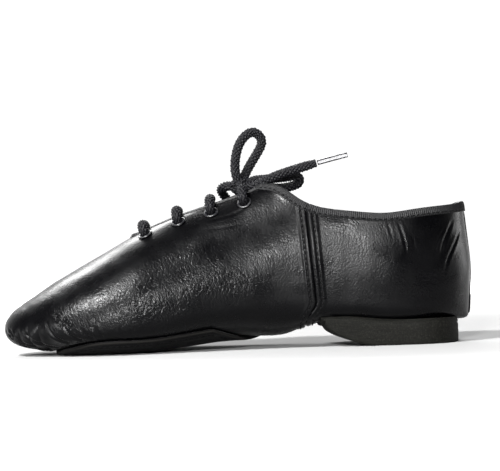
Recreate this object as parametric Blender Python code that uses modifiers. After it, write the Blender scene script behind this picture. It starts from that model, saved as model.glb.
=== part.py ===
"""Right jazz shoe of soft leather: hollow upper on a true last, split sole, laced throat.

Frame: metres, +X towards the toe, +Y towards the inner side of the foot, +Z up.
The origin is on the floor, under the middle of the shoe's length and of its ball width.
"""

import math

import bmesh
import bpy
import numpy as np
from mathutils import Matrix, Vector

for leftover in list(bpy.data.objects):
    bpy.data.objects.remove(leftover, do_unlink=True)

# Last and upper
SHOE_LENGTH = 0.2106
BALL_WIDTH = 0.0726
INSTEP_HEIGHT = 0.0660
BACK_HEIGHT = 0.0622
SEAT_HEIGHT = 0.0104
TOE_SPRING = 0.0109
TOE_SWING = 0.0030
BACK_BULGE = 0.0026
UPPER_WALL = 0.0014
FIT_GAP = 0.0003

# Side seam, where vamp and quarter meet in a flattened open seam
SEAM_PLACE = 0.0715
SEAM_BAND = 0.0084
SEAM_STEP = 0.0004
SEAM_RUN = 0.0009
SEAM_LEAN = 0.076
SEAM_TURN = 0.0055
SEAM_SPREAD = 0.0120

# Throat and collar
THROAT_END = 0.1529
THROAT_RADIUS = 0.0055
THROAT_GAP = 0.0200
COLLAR_TAPE = 0.0032
THROAT_TAPE = 0.0011
TAPE_WALL = 0.0019
TAPE_NARROWS = 0.0935
CORNER_RADIUS = 0.0040
CORNER_RISE = 0.0600

# Sole pieces and insole
SOLE_THICKNESS = 0.0018
SOLE_PRESS = 0.0004
SOLE_LAP = 0.0070
INSOLE_THICKNESS = 0.0018
INSOLE_REACH = 0.925
INSOLE_WIDTH = 0.70
HEEL_BACK = 0.0052
HEEL_SQUARENESS = 2.4
HEEL_BACK_ANGLES = (0, 20, 36, 52)
HEEL_FLAT_END = 0.0430
BREAST_END = 0.0648
BREAST_CURVE = 1.5
FLANGE_GAP = 0.0008
FLANGE_THICKNESS = 0.0017
HEEL_WIDTH = 0.0458
OPENING_REAR = 0.1260
OPENING_FRONT = 0.1795
OPENING_STEP = 0.0010
# Spacing of the rows along the shoe, and the length of its round ends, where rows lie closer.
ROW_APART = 0.0018
ROUND_END = 0.0120

# Tongue
TONGUE_THICKNESS = 0.0013
TONGUE_WIDTH = 0.0360
TONGUE_ROOT = 0.1600
TONGUE_TIP = 0.0800
TONGUE_SAG = 0.0110
TONGUE_ROUND = 0.35

# Eyelets and lace
EYELET_COUNT = 4
FIRST_EYELET = 0.1456
EYELET_PITCH = 0.0149
EYELET_INSET = 0.0062
EYELET_FLANGE = 0.0066
EYELET_BORE = 0.0042
EYELET_METAL = 0.0004
EYELET_RIM = 0.0006
EYELET_SIDES = 10
LACE_DIAMETER = 0.0036
LACE_SQUEEZE = 0.0030
KNOT_PLACE = (-0.0034, 0.0006, 0.0728)
KNOT_SIZE = (0.0106, 0.0092, 0.0076)
AGLET_LENGTH = 0.0145
AGLET_DIAMETER = 0.0024

# Sections of the last, from the back of the heel to the tip of the toe. Share of the length;
# inner and outer half width as shares of the ball width; share of the seat's height over the
# ball; share of the toe spring; height as a share of the instep's; level of the widest
# point as a share of that height; squareness of the lower half and fullness of the upper half,
# the exponents of their curves.
SECTIONS = np.array([
    # along  inner  outer  seat   spring rise   belly  square full
    [0.000,  0.000, 0.000, 1.150, 0.000, 1.256, 0.168, 3.6,   2.1],
    [0.020,  0.158, 0.158, 0.940, 0.000, 1.280, 0.148, 3.6,   2.1],
    [0.060,  0.272, 0.272, 1.000, 0.000, 1.260, 0.138, 4.2,   2.1],
    [0.120,  0.342, 0.344, 1.000, 0.000, 1.245, 0.138, 4.6,   2.1],
    [0.200,  0.364, 0.374, 1.010, 0.000, 1.213, 0.145, 4.6,   2.1],
    [0.300,  0.358, 0.388, 1.090, 0.000, 1.143, 0.170, 4.0,   2.1],
    [0.400,  0.362, 0.416, 0.450, 0.000, 1.129, 0.252, 2.9,   2.0],
    [0.480,  0.386, 0.448, 0.440, 0.000, 1.012, 0.270, 2.6,   1.9],
    [0.560,  0.424, 0.478, 0.370, 0.000, 0.924, 0.273, 2.6,   1.85],
    [0.640,  0.466, 0.498, 0.140, 0.000, 0.862, 0.262, 2.7,   1.85],
    [0.700,  0.490, 0.500, 0.020, 0.000, 0.792, 0.264, 2.8,   1.85],
    [0.780,  0.484, 0.466, 0.000, 0.000, 0.658, 0.285, 2.8,   1.85],
    [0.860,  0.424, 0.396, 0.000, 0.014, 0.518, 0.320, 2.6,   1.9],
    [0.930,  0.306, 0.284, 0.000, 0.110, 0.367, 0.380, 2.4,   2.0],
    [0.980,  0.176, 0.164, 0.000, 0.385, 0.214, 0.440, 2.2,   2.0],
    [1.000,  0.000, 0.000, 0.000, 1.000, 0.000, 0.500, 2.0,   2.0],
])
# Finished top line of the collar. Share of the length; height as a share of the back's height.
COLLAR_LINE = np.array([
    # along  height
    [0.000,  1.000],
    [0.050,  0.984],
    [0.110,  0.967],
    [0.185,  0.943],
    [0.250,  0.962],
    [0.310,  0.996],
    [0.350,  1.047],
    [0.390,  1.130],
    [0.425,  1.178],
    [0.450,  1.199],
    [0.470,  1.297],
    [0.500,  1.646],
])
# Back seam in profile. Share of the back's height; how far it stands in front of the rearmost
# point, as a share of the bulge.
BACK_LINE = np.array([
    # height inset
    [0.000,  0.700],
    [0.180,  0.550],
    [0.350,  0.250],
    [0.520,  0.000],
    [0.700,  0.280],
    [0.860,  0.650],
    [1.000,  0.920],
    [1.600,  1.200],
])
# Forefoot patch. Share of the way from its start to its front; inner and outer half width, on
# the curve of the underside, as shares of the ball width. Its rear edge runs askew, further
# forward on the inner side, with rounded corners.
PATCH_START = 0.0860
PATCH_REAR = 0.1000
PATCH_FRONT = 0.1878
PATCH_SKEW = 0.0105
PATCH_CORNER = 0.0062
PATCH_WIDTHS = np.array([
    # along  inner  outer
    [0.000,  0.298, 0.370],
    [0.080,  0.325, 0.412],
    [0.150,  0.338, 0.430],
    [0.300,  0.364, 0.452],
    [0.500,  0.422, 0.466],
    [0.700,  0.460, 0.442],
    [0.850,  0.408, 0.352],
    [0.930,  0.300, 0.254],
    [0.980,  0.165, 0.142],
    [1.000,  0.000, 0.000],
])
# How far the tongue sinks below the line of the throat: share of the tongue's length from its
# root, share of its full sag.
TONGUE_LINE = np.array([
    # along  sag
    [0.000,  0.000],
    [0.200,  0.020],
    [0.500,  0.110],
    [0.740,  0.320],
    [0.875,  0.660],
    [1.000,  1.000],
])
# Routes of the lace's bow, from the knot: lengthwise, across, up, in metres.
LOOP_UP_ROUTE = [
    (-0.0014, 0.0016, 0.0769),
    (-0.0007, 0.0018, 0.0818),
    (-0.0016, 0.0014, 0.0881),
    (-0.0044, 0.0004, 0.0941),
    (-0.0097, -0.0008, 0.0971),
    (-0.0130, -0.0016, 0.0938),
    (-0.0112, -0.0020, 0.0882),
    (-0.0076, -0.0022, 0.0826),
    (-0.0046, -0.0020, 0.0768),
]
LOOP_SIDE_ROUTE = [
    (-0.0090, 0.0006, 0.0752),
    (-0.0130, 0.0010, 0.0756),
    (-0.0190, 0.0012, 0.0760),
    (-0.0254, 0.0008, 0.0766),
    (-0.0288, -0.0004, 0.0764),
    (-0.0296, -0.0018, 0.0744),
    (-0.0258, -0.0030, 0.0722),
    (-0.0200, -0.0034, 0.0716),
    (-0.0140, -0.0028, 0.0718),
    (-0.0094, -0.0016, 0.0718),
]
NEAR_END_ROUTE = [
    (-0.0082, 0.0052, 0.0722),
    (-0.0118, 0.0058, 0.0736),
    (-0.0166, 0.0062, 0.0759),
    (-0.0256, 0.0066, 0.0789),
    (-0.0372, 0.0068, 0.0820),
    (-0.0518, 0.0068, 0.0854),
]
# The other end, over the outer side: distance along the last, distance below the wall's edge.
FAR_END_ROUTE = [
    (0.1080, 0.0050),
    (0.1075, 0.0110),
    (0.1085, 0.0180),
    (0.1105, 0.0260),
    (0.1130, 0.0350),
]


def spline(table, column, at):
    """Natural cubic spline through one column of a table, over its first column."""
    x, y = table[:, 0], table[:, column]
    step = np.diff(x)
    slope = np.diff(y) / step
    count = len(x)
    matrix = np.eye(count)
    right = np.zeros(count)
    inner = np.arange(1, count - 1)
    matrix[inner, inner - 1] = step[:-1]
    matrix[inner, inner] = 2 * (step[:-1] + step[1:])
    matrix[inner, inner + 1] = step[1:]
    right[inner] = 6 * np.diff(slope)
    bend = np.linalg.solve(matrix, right)
    at = np.clip(at, x[0], x[-1])
    i = np.clip(np.searchsorted(x, at) - 1, 0, count - 2)
    left, h = at - x[i], step[i]
    return (
        y[i]
        + left * (slope[i] - h * (2 * bend[i] + bend[i + 1]) / 6)
        + left**2 * bend[i] / 2
        + left**3 * (bend[i + 1] - bend[i]) / (6 * h)
    )


def round_ends(share):
    """Turns a share of a length into the angle of a half circle, so ends come out round."""
    return np.arccos(1 - 2 * np.clip(share, 0, 1))


def smooth_step(value):
    value = np.clip(value, 0, 1)
    return value * value * (3 - 2 * value)


ROUNDED_SECTIONS = np.column_stack([round_ends(SECTIONS[:, 0]), SECTIONS[:, 1:]])
ROUNDED_PATCH = np.column_stack([round_ends(PATCH_WIDTHS[:, 0]), PATCH_WIDTHS[:, 1:]])
FLANGE_END = SEAM_PLACE - SEAM_BAND / 2 - FLANGE_GAP
BALL_LEVEL = SOLE_THICKNESS + FIT_GAP - SOLE_PRESS
SECTION_STEPS = 240


def section(along, side):
    """Half sections of the last at distances along it, from the middle of the underside to the
    middle of the top: y and z of fine points, and their running length."""
    angle = round_ends(along / SHOE_LENGTH)
    inner, outer, seat, spring, rise, belly, square, full = (
        spline(ROUNDED_SECTIONS, column, angle)[:, None] for column in range(1, 9)
    )
    half = np.maximum(inner if side > 0 else outer, 0) * BALL_WIDTH
    under = BALL_LEVEL + seat * (SEAT_HEIGHT - BALL_LEVEL) + spring * TOE_SPRING
    tall = np.maximum(rise, 0) * INSTEP_HEIGHT
    turn = np.linspace(-math.pi / 2, math.pi / 2, SECTION_STEPS + 1)[None, :]
    power = np.where(turn < 0, 2 / square, 2 / full)
    reach = np.where(turn < 0, tall * belly, tall * (1 - belly))
    lift = np.sign(turn) * np.abs(np.sin(turn)) ** power
    y = half * np.cos(turn).clip(0) ** power
    z = under + tall * belly + reach * lift
    length = np.concatenate(
        [np.zeros((len(y), 1)), np.cumsum(np.hypot(np.diff(y), np.diff(z)), axis=1)], axis=1
    )
    return y, z, length


def look_up(wanted, table, values):
    """Linear look-up of each row's own table, in one call: rows are set apart by an offset."""
    apart = 10.0 * np.arange(len(table))[:, None]
    flat = np.interp((wanted + apart).ravel(), (table + apart).ravel(), values.ravel())
    return flat.reshape(wanted.shape)


def last_surface(along, around, side):
    """Points of the last's skin. along: (n,) distances from the back. around: (n, m) running
    lengths from the middle of the underside. side: +1 inner, -1 outer."""
    y, z, length = section(along, side)
    around = np.clip(around, 0, length[:, -1:])
    y, z = look_up(around, length, y), look_up(around, length, z)
    inset = BACK_BULGE * spline(BACK_LINE, 1, z / BACK_HEIGHT)
    near_back = np.clip(1 - along[:, None] / SEAM_PLACE, 0, 1) ** 2
    near_seam = np.exp(-(((along[:, None] - SEAM_PLACE) / SEAM_SPREAD) ** 2))
    low = np.clip((2 * SEAT_HEIGHT - z) / SEAT_HEIGHT, 0, 1)
    lean = near_seam * (SEAM_LEAN * (z - BACK_HEIGHT / 2) + SEAM_TURN * smooth_step(low))
    swing = TOE_SWING * smooth_step((along[:, None] / SHOE_LENGTH - 0.6) / 0.4)
    x = along[:, None] - SHOE_LENGTH / 2 + inset * near_back + lean
    return np.stack([x, swing + side * y, z], axis=-1)


def skin(along, around, side, lift=0.0):
    """Points of the last's skin, lifted off it along its outward normal."""
    along = np.asarray(along, float)
    around = np.broadcast_to(around, (len(along), np.shape(around)[-1])).astype(float)
    points = last_surface(along, around, side)
    if np.all(lift == 0):
        return points
    return points + normals(along, around, side) * np.asarray(lift)[..., None]


def normals(along, around, side):
    """Outward unit normals, by differences on the skin."""
    step = 0.0002
    full = section(along, side)[2][:, -1:]
    near, far = np.maximum(along - step, 0), np.minimum(along + step, SHOE_LENGTH)
    share = around / np.maximum(full, step)
    forward = last_surface(far, share * section(far, side)[2][:, -1:], side) - last_surface(
        near, share * section(near, side)[2][:, -1:], side
    )
    up = last_surface(along, np.minimum(around + step, full), side) - last_surface(
        along, np.maximum(around - step, 0), side
    )
    across = np.cross(forward, up) * -side
    across[..., 1] = np.where((around <= 0) | (around >= full), 0, across[..., 1])
    across[np.asarray(along) <= 0, :, 1] = 0
    size = np.linalg.norm(across, axis=-1, keepdims=True)
    at_pole = np.zeros(across.shape)
    at_pole[..., 0] = np.where(np.asarray(along) > SHOE_LENGTH / 2, 1.0, -1.0)[:, None]
    return np.where(size > 1e-12, across / np.maximum(size, 1e-12), at_pole)


def throat_half_gap(along):
    """Half the distance between the wall's edges: a round end, then straight edges that open."""
    back = np.maximum(THROAT_END - along, 0)
    turn = np.clip(THROAT_RADIUS - back, 0, None)
    round_end = np.sqrt(np.maximum(THROAT_RADIUS**2 - turn**2, 0))
    run = THROAT_END - THROAT_RADIUS - TAPE_NARROWS
    opening = THROAT_GAP / 2 - THROAT_RADIUS
    gap = round_end + opening * np.clip((back - THROAT_RADIUS) / run, 0, 1.2)
    return gap * smooth_step(2 * along / TAPE_NARROWS)


def wall_edge(along, side):
    """Running length from the middle of the underside to the wall's edge at throat and collar:
    the smooth minimum of the length where the throat opens and the length at the collar's line."""
    y, z, length = section(along, side)
    line = BACK_HEIGHT * spline(COLLAR_LINE, 1, along / SHOE_LENGTH)
    gap = throat_half_gap(along)
    upper = slice(SECTION_STEPS // 2, None)
    rows = range(len(along))
    at_gap = np.array([np.interp(-gap[i], -y[i, upper], length[i, upper]) for i in rows])
    at_line = np.array([np.interp(line[i], z[i, upper], length[i, upper]) for i in rows])
    at_gap = np.where(along >= THROAT_END, length[:, -1], at_gap)
    at_tape = at_line - COLLAR_TAPE - FIT_GAP + CORNER_RISE * smooth_step(
        (along - TAPE_NARROWS) / CORNER_RADIUS
    )
    share = np.clip(0.5 + 0.5 * (at_tape - at_gap) / CORNER_RADIUS, 0, 1)
    blend = at_tape * (1 - share) + at_gap * share - CORNER_RADIUS * share * (1 - share)
    return blend


def skin_across(along, signed, lift=0.0):
    """Skin points by signed running length from the middle of the underside: plus is inner."""
    inner = skin(along, np.maximum(signed, 0), 1, lift)
    outer = skin(along, np.maximum(-signed, 0), -1, lift)
    return np.where((signed >= 0)[..., None], inner, outer)


def seam_relief(along):
    """Height of the side seam's band over the skin, with the groove where the panels meet."""
    off = np.abs(along - SEAM_PLACE)
    band = np.clip((SEAM_BAND / 2 - off) / SEAM_RUN, 0, 1)
    groove = np.clip(1 - off / SEAM_RUN, 0, 1)
    return SEAM_STEP * (band - groove)


def opening_half(along, rear, front, half):
    """Half width of an opening in the underside, an oval with blunt ends."""
    place = np.clip((2 * along - rear - front) / (front - rear), -1, 1)
    return half * (1 - np.abs(place) ** 3) ** (1 / 3)


def wall_start(along):
    """Running length where the wall starts: 0 where it closes the underside."""
    heel_half = HEEL_WIDTH / 2 - SOLE_LAP
    fore_half = PATCH_WIDTHS[:, 1].max() * BALL_WIDTH - SOLE_LAP
    heel = opening_half(along, HEEL_BACK + SOLE_LAP, HEEL_FLAT_END, heel_half)
    fore = opening_half(along, OPENING_REAR, OPENING_FRONT, fore_half)
    return np.maximum(heel, fore)


COLLECTION = bpy.data.collections.new("jazz_shoe")
CUTTERS = bpy.data.collections.new("cutters")


def material(name, colour, roughness, metallic=0.0):
    made = bpy.data.materials.new(name)
    made.use_nodes = True
    shader = made.node_tree.nodes["Principled BSDF"]
    shader.inputs["Base Color"].default_value = (*colour, 1.0)
    shader.inputs["Roughness"].default_value = roughness
    shader.inputs["Metallic"].default_value = metallic
    return made


def place(name, mesh, look, collection=COLLECTION):
    made = bpy.data.objects.new(name, mesh)
    collection.objects.link(made)
    mesh.materials.append(look)
    mesh.shade_smooth()
    mesh.set_sharp_from_angle(angle=math.radians(40))
    return made


def mesh_from(name, points, faces):
    """A mesh from points and faces, welded where rows meet, with its faces turned outwards."""
    mesh = bpy.data.meshes.new(name)
    mesh.from_pydata(np.asarray(points).reshape(-1, 3).tolist(), [], faces)
    work = bmesh.new()
    work.from_mesh(mesh)
    bmesh.ops.remove_doubles(work, verts=work.verts, dist=1e-6)
    bmesh.ops.recalc_face_normals(work, faces=work.faces)
    work.to_mesh(mesh)
    work.free()
    return mesh


def grid_faces(rows, columns, first=0, wrap=False):
    """Quads between neighbouring rows and columns of points; wrap joins the last to the first."""
    faces = []
    for i in range(rows if wrap else rows - 1):
        for j in range(columns if wrap else columns - 1):
            a, b = i % rows * columns, (i + 1) % rows * columns
            c, d = j % columns, (j + 1) % columns
            faces.append((first + a + c, first + b + c, first + b + d, first + a + d))
    return faces


def wall_between(name, outer, inner, faces, look):
    """A closed wall between two like surfaces. Rows that meet are welded, and the open edges of
    the two surfaces are joined by a rim."""
    outer, inner = np.reshape(outer, (-1, 3)), np.reshape(inner, (-1, 3))
    work = bmesh.new()
    partner_place = work.verts.layers.float_vector.new("inner")
    for point, partner in zip(outer.tolist(), inner.tolist()):
        work.verts.new(point)[partner_place] = partner
    work.verts.ensure_lookup_table()
    for face in faces:
        work.faces.new([work.verts[i] for i in face])
    bmesh.ops.remove_doubles(work, verts=work.verts, dist=1e-6)
    skin_faces = [list(face.verts) for face in work.faces]
    rims = [list(edge.verts) for edge in work.edges if len(edge.link_faces) == 1]
    partners = {vert: work.verts.new(vert[partner_place]) for vert in list(work.verts)}
    for verts in skin_faces:
        work.faces.new([partners[vert] for vert in reversed(verts)])
    for a, b in rims:
        work.faces.new([a, b, partners[b], partners[a]])
    bmesh.ops.recalc_face_normals(work, faces=work.faces)
    mesh = bpy.data.meshes.new(name)
    work.to_mesh(mesh)
    work.free()
    return place(name, mesh, look)


def closed_sheet(name, top, bottom, look):
    """A closed solid between two grids of the same size, one over the other."""
    rows, columns = top.shape[:2]
    count = rows * columns
    rim = list(range(columns))
    rim += [i * columns + columns - 1 for i in range(1, rows)]
    rim += [(rows - 1) * columns + j for j in range(columns - 2, -1, -1)]
    rim += [i * columns for i in range(rows - 2, 0, -1)]
    faces = grid_faces(rows, columns) + [
        face[::-1] for face in grid_faces(rows, columns, first=count)
    ]
    faces += [
        (rim[k], rim[(k + 1) % len(rim)], rim[(k + 1) % len(rim)] + count, rim[k] + count)
        for k in range(len(rim))
    ]
    return place(name, mesh_from(name, [top, bottom], faces), look)


def heel_back_rows():
    """Distances along the shoe of the heel's rows round its back."""
    return HEEL_BACK + HEEL_WIDTH / 2 * (1 - np.cos(np.radians(HEEL_BACK_ANGLES)))


def stations():
    """Distances along the shoe for the upper's rows: closer at the round ends, on the steps of
    the seam, round the end of the throat and at the ends of the openings underneath."""
    even = SHOE_LENGTH * (1 - np.cos(np.linspace(0, math.pi, 38))) / 2
    steps = [0, SEAM_RUN, SEAM_BAND / 2 - SEAM_RUN, SEAM_BAND / 2]
    turns = np.radians([0, 22.5, 45, 67.5, 90])
    fixed = np.concatenate([
        [SEAM_PLACE + sign * step for sign in (-1, 1) for step in steps],
        THROAT_END - THROAT_RADIUS * (1 - np.cos(turns)),
        heel_back_rows(),
        [HEEL_BACK + SOLE_LAP, HEEL_BACK + SOLE_LAP + OPENING_STEP],
        [HEEL_FLAT_END - OPENING_STEP, HEEL_FLAT_END, BREAST_END, FLANGE_END],
        [OPENING_REAR, OPENING_REAR + OPENING_STEP],
        [OPENING_FRONT - OPENING_STEP, OPENING_FRONT],
        [0, SHOE_LENGTH],
    ])
    fixed = np.unique(np.round(fixed, 6))
    apart = np.abs(even[:, None] - fixed[None, :]).min(axis=1)
    ends = (even < ROUND_END) | (even > SHOE_LENGTH - ROUND_END)
    kept = (apart > ROW_APART) | (ends & (apart > 1e-5))
    return np.unique(np.concatenate([fixed, even[kept]]))


LEATHER = material("black leather", (0.012, 0.012, 0.013), 0.42)
SUEDE = material("black suede", (0.008, 0.008, 0.009), 0.95)
RUBBER = material("black rubber", (0.020, 0.020, 0.019), 0.75)
TAPE = material("ribbed tape", (0.014, 0.014, 0.016), 0.80)
LINING = material("grey lining", (0.060, 0.058, 0.056), 0.90)
CORD = material("black cord", (0.012, 0.012, 0.014), 0.85)
METAL = material("black metal", (0.030, 0.030, 0.032), 0.28, 0.9)
CLEAR = material("clear tip", (0.080, 0.080, 0.080), 0.15)

ROWS = stations()
COLUMNS = 12
SOLE_COLUMNS = 4


def make_upper():
    """The last's skin from the openings underneath to the throat and collar, with a real wall.
    Only the lowest columns move with the openings."""
    share = np.linspace(0, 1, COLUMNS)[None, :]
    low = np.linspace(0, 1, SOLE_COLUMNS + 1)[None, :]
    outer, inner = [], []
    for side in (1, -1):
        start, end = wall_start(ROWS)[:, None], wall_edge(ROWS, side)[:, None]
        around = end * share
        turn = around[:, SOLE_COLUMNS : SOLE_COLUMNS + 1]
        around[:, : SOLE_COLUMNS + 1] = start + (turn - start) * low
        relief = np.broadcast_to(seam_relief(ROWS)[:, None], around.shape)
        outer.append(skin(ROWS, around, side, relief))
        inner.append(skin(ROWS, around, side, relief - UPPER_WALL))
    count = len(ROWS) * COLUMNS
    faces = grid_faces(len(ROWS), COLUMNS) + [
        face[::-1] for face in grid_faces(len(ROWS), COLUMNS, first=count)
    ]
    return wall_between("upper", outer, inner, faces, LEATHER)


def make_forefoot_sole():
    """The suede patch: a sheet on the skin of the underside, pressed flat where it stands."""
    share = np.sin(np.linspace(0, math.pi / 2, 15))[:, None]
    across = np.sin(np.linspace(-math.pi / 2, math.pi / 2, 11))[None, :]
    rear = PATCH_REAR + PATCH_SKEW * across + PATCH_CORNER * across**4
    along = rear + (PATCH_FRONT - rear) * share
    angle = round_ends((along - PATCH_START) / (PATCH_FRONT - PATCH_START))
    inner, outer = (spline(ROUNDED_PATCH, column, angle).clip(0) for column in (1, 2))
    signed = across * np.where(across > 0, inner, outer) * BALL_WIDTH
    top = scattered_skin(along, signed, FIT_GAP)
    bottom = scattered_skin(along, signed, FIT_GAP + SOLE_THICKNESS)
    bottom[..., 2] = bottom[..., 2].clip(0)
    return closed_sheet("forefoot_sole", top, bottom, SUEDE)


def scattered_skin(along, signed, lift):
    """Skin points where each point has its own distance along the shoe."""
    points = skin_across(along.ravel(), signed.reshape(-1, 1), lift)
    return points.reshape(*along.shape, 3)


def under_half_width(along, half):
    """Running length on the underside at which each side of the skin is half as wide as asked."""
    found = []
    for side in (1, -1):
        y, _, length = section(along, side)
        lower = slice(0, SECTION_STEPS // 2)
        found.append([np.interp(half[i], y[i, lower], length[i, lower]) for i in range(len(along))])
    return np.array(found)[..., None]


def make_heel():
    """The rubber block, cupped to the underside, with a curved breast and a thin stitched flange.
    Its first rows, where the faces are long, lie a little further from the skin."""
    back = heel_back_rows()
    breast = HEEL_FLAT_END + (BREAST_END - HEEL_FLAT_END) * np.sin(np.linspace(0, math.pi / 2, 6))
    shared = ROWS[(ROWS > back[-1]) & (ROWS <= FLANGE_END + 1e-6)]
    along = np.unique(np.concatenate([back, breast, shared]).round(6))
    round_back = np.clip((along - HEEL_BACK) / (HEEL_WIDTH / 2), 0, 1)
    half = HEEL_WIDTH / 2 * (1 - (1 - round_back) ** HEEL_SQUARENESS) ** (1 / HEEL_SQUARENESS)
    across = np.sin(np.linspace(-math.pi / 2, math.pi / 2, 11))[None, :]
    inner, outer = under_half_width(along, half)
    signed = across * np.where(across > 0, inner, outer)
    gap = np.where(along <= back[1] + 1e-6, 2 * FIT_GAP, FIT_GAP)[:, None]
    top = skin_across(along, signed, np.broadcast_to(gap, signed.shape))
    rise = np.clip((along - HEEL_FLAT_END) / (BREAST_END - HEEL_FLAT_END), 0, 1)[:, None]
    curve = 1 - np.sqrt(1 - rise**BREAST_CURVE)
    bottom = top.copy()
    flange = top[..., 2] - FLANGE_THICKNESS
    bottom[..., 2] = np.where(along[:, None] >= BREAST_END, flange, flange * curve)
    return closed_sheet("heel", top, bottom, RUBBER)


def make_insole():
    """A thin sheet along the inside of the foot, over the openings underneath."""
    turn = np.linspace(0, math.pi, 30)
    along = SHOE_LENGTH * (0.5 - INSOLE_REACH / 2 * np.cos(turn))
    across = np.linspace(-1, 1, 9)[None, :]
    inner, outer = (
        INSOLE_WIDTH * section(along, side)[0].max(axis=1)[:, None] for side in (1, -1)
    )
    ends = np.sin(turn)[:, None] ** 0.5
    signed = across * np.where(across > 0, inner, outer) * ends
    sunk = UPPER_WALL + 2 * FIT_GAP
    bottom = skin_across(along, signed, -sunk)
    top = skin_across(along, signed, -sunk - INSOLE_THICKNESS)
    return closed_sheet("insole", top, bottom, LINING)


def tongue_skin(along, off_top, lift):
    """Skin points by signed running length from the middle of the top, sunk by the sag."""
    sides = []
    for side in (1, -1):
        full = section(along, side)[2][:, -1:]
        sides.append(skin(along, full - np.maximum(side * off_top, 0), side, lift))
    points = np.where((off_top >= 0)[..., None], sides[0], sides[1])
    share = (TONGUE_ROOT - along) / (TONGUE_ROOT - TONGUE_TIP)
    points[..., 2] -= TONGUE_SAG * spline(TONGUE_LINE, 1, share)[:, None]
    return points


def make_tongue():
    """Thin leather under the throat, fixed in front of it and loose at the back."""
    share = np.sin(np.linspace(0, math.pi / 2, 13))
    along = TONGUE_ROOT - (TONGUE_ROOT - TONGUE_TIP) * share
    taper = np.clip((along - TONGUE_TIP) / (TONGUE_ROUND * TONGUE_WIDTH), 0, 1)
    half = TONGUE_WIDTH / 2 * np.sqrt(1 - (1 - taper) ** 2)
    off_top = half[:, None] * np.linspace(-1, 1, 7)[None, :]
    sunk = UPPER_WALL + FIT_GAP
    top = tongue_skin(along, off_top, -sunk)
    bottom = tongue_skin(along, off_top, -sunk - TONGUE_THICKNESS)
    return closed_sheet("tongue", top, bottom, LEATHER)


def edge_frame(along, side):
    """Middle of the wall's edge and its outward normal, at distances along one side."""
    edge = wall_edge(along, side)[:, None]
    normal = normals(along, edge, side)[:, 0]
    relief = seam_relief(along)[:, None]
    return skin(along, edge, side)[:, 0] + normal * (relief - UPPER_WALL / 2), normal


def make_collar_binding():
    """Tape on the wall's edge all the way round: broad at the collar, thin along the throat."""
    rows = ROWS[ROWS <= THROAT_END + 1e-6]
    inner, inner_normal = edge_frame(rows[::-1], 1)
    outer, outer_normal = edge_frame(rows[1:-1], -1)
    middle = np.concatenate([inner, outer])
    normal = np.concatenate([inner_normal, outer_normal])
    along = np.concatenate([rows[::-1], rows[1:-1]])
    tangent = np.roll(middle, -1, axis=0) - np.roll(middle, 1, axis=0)
    tangent /= np.linalg.norm(tangent, axis=1, keepdims=True)
    up = np.cross(normal, tangent)
    up /= np.linalg.norm(up, axis=1, keepdims=True)
    narrow = smooth_step((along - TAPE_NARROWS) / CORNER_RADIUS)[:, None]
    tall = COLLAR_TAPE + (THROAT_TAPE - COLLAR_TAPE) * narrow
    half = TAPE_WALL / 2
    profile = [(half, 0), (half, 0.75), (0.55 * half, 1), (-0.55 * half, 1), (-half, 0.75), (-half, 0)]
    points = np.stack(
        [middle + normal * off + up * (FIT_GAP + tall * level) for off, level in profile], axis=1
    )
    faces = grid_faces(len(points), len(profile), wrap=True)
    return place("collar_binding", mesh_from("collar_binding", points, faces), TAPE)


def eyelet_frame(number, side):
    """Centre of an eyelet on the skin, its outward axis and the direction to the throat."""
    along = np.array([FIRST_EYELET - number * EYELET_PITCH])
    around = wall_edge(along, side)[:, None] - EYELET_INSET
    centre = skin(along, around, side)[0, 0]
    axis = normals(along, around, side)[0, 0]
    up = skin(along, around + EYELET_INSET, side)[0, 0] - centre
    up -= axis * (up @ axis)
    return Vector(centre), Vector(axis), Vector(up).normalized()


def make_eyelet(name, centre, axis, upper):
    """A flanged barrel through the wall, in a hole cut with clearance."""
    bore, barrel = EYELET_BORE / 2, EYELET_BORE / 2 + EYELET_METAL
    flange = EYELET_FLANGE / 2
    seat = FIT_GAP + 0.0001
    rim = seat + EYELET_RIM
    profile = [
        (bore, rim), (0.8 * flange, rim), (flange, seat + EYELET_RIM / 3), (flange, seat),
        (barrel, seat), (barrel, -UPPER_WALL), (bore, -UPPER_WALL),
    ]
    mesh = bpy.data.meshes.new(name)
    edges = [(i, (i + 1) % len(profile)) for i in range(len(profile))]
    mesh.from_pydata([(r, 0, z) for r, z in profile], edges, [])
    eyelet = place(name, mesh, METAL)
    turn = eyelet.modifiers.new("turn", "SCREW")
    turn.steps = turn.render_steps = EYELET_SIDES
    turn.use_merge_vertices = True
    turn.merge_threshold = 1e-6
    turn.use_normal_calculate = True
    pose = Matrix.Translation(centre) @ axis.to_track_quat("Z", "Y").to_matrix().to_4x4()
    eyelet.matrix_world = pose
    hole = bpy.data.meshes.new("hole_" + name)
    work = bmesh.new()
    radius = barrel + FIT_GAP
    bmesh.ops.create_cone(
        work, cap_ends=True, segments=EYELET_SIDES, radius1=radius, radius2=radius,
        depth=6 * UPPER_WALL, matrix=pose,
    )
    work.to_mesh(hole)
    work.free()
    cutter = bpy.data.objects.new(hole.name, hole)
    CUTTERS.objects.link(cutter)
    cutter.hide_render = True
    cutter.display_type = "WIRE"
    cut = upper.modifiers.new("hole", "BOOLEAN")
    cut.operation = "DIFFERENCE"
    cut.solver = "EXACT"
    cut.object = cutter
    return eyelet


def smooth_route(points, count):
    """Evenly spaced points on a smooth curve through the route's points."""
    points = np.array(points, float)
    chord = np.concatenate([[0], np.cumsum(np.linalg.norm(np.diff(points, axis=0), axis=1))])
    table = np.column_stack([chord, points])
    fine = np.linspace(0, chord[-1], 400)
    curve = np.column_stack([spline(table, column, fine) for column in (1, 2, 3)])
    run = np.concatenate([[0], np.cumsum(np.linalg.norm(np.diff(curve, axis=0), axis=1))])
    even = np.linspace(0, run[-1], count)
    return np.column_stack([np.interp(even, run, curve[:, axis]) for axis in range(3)])


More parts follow.
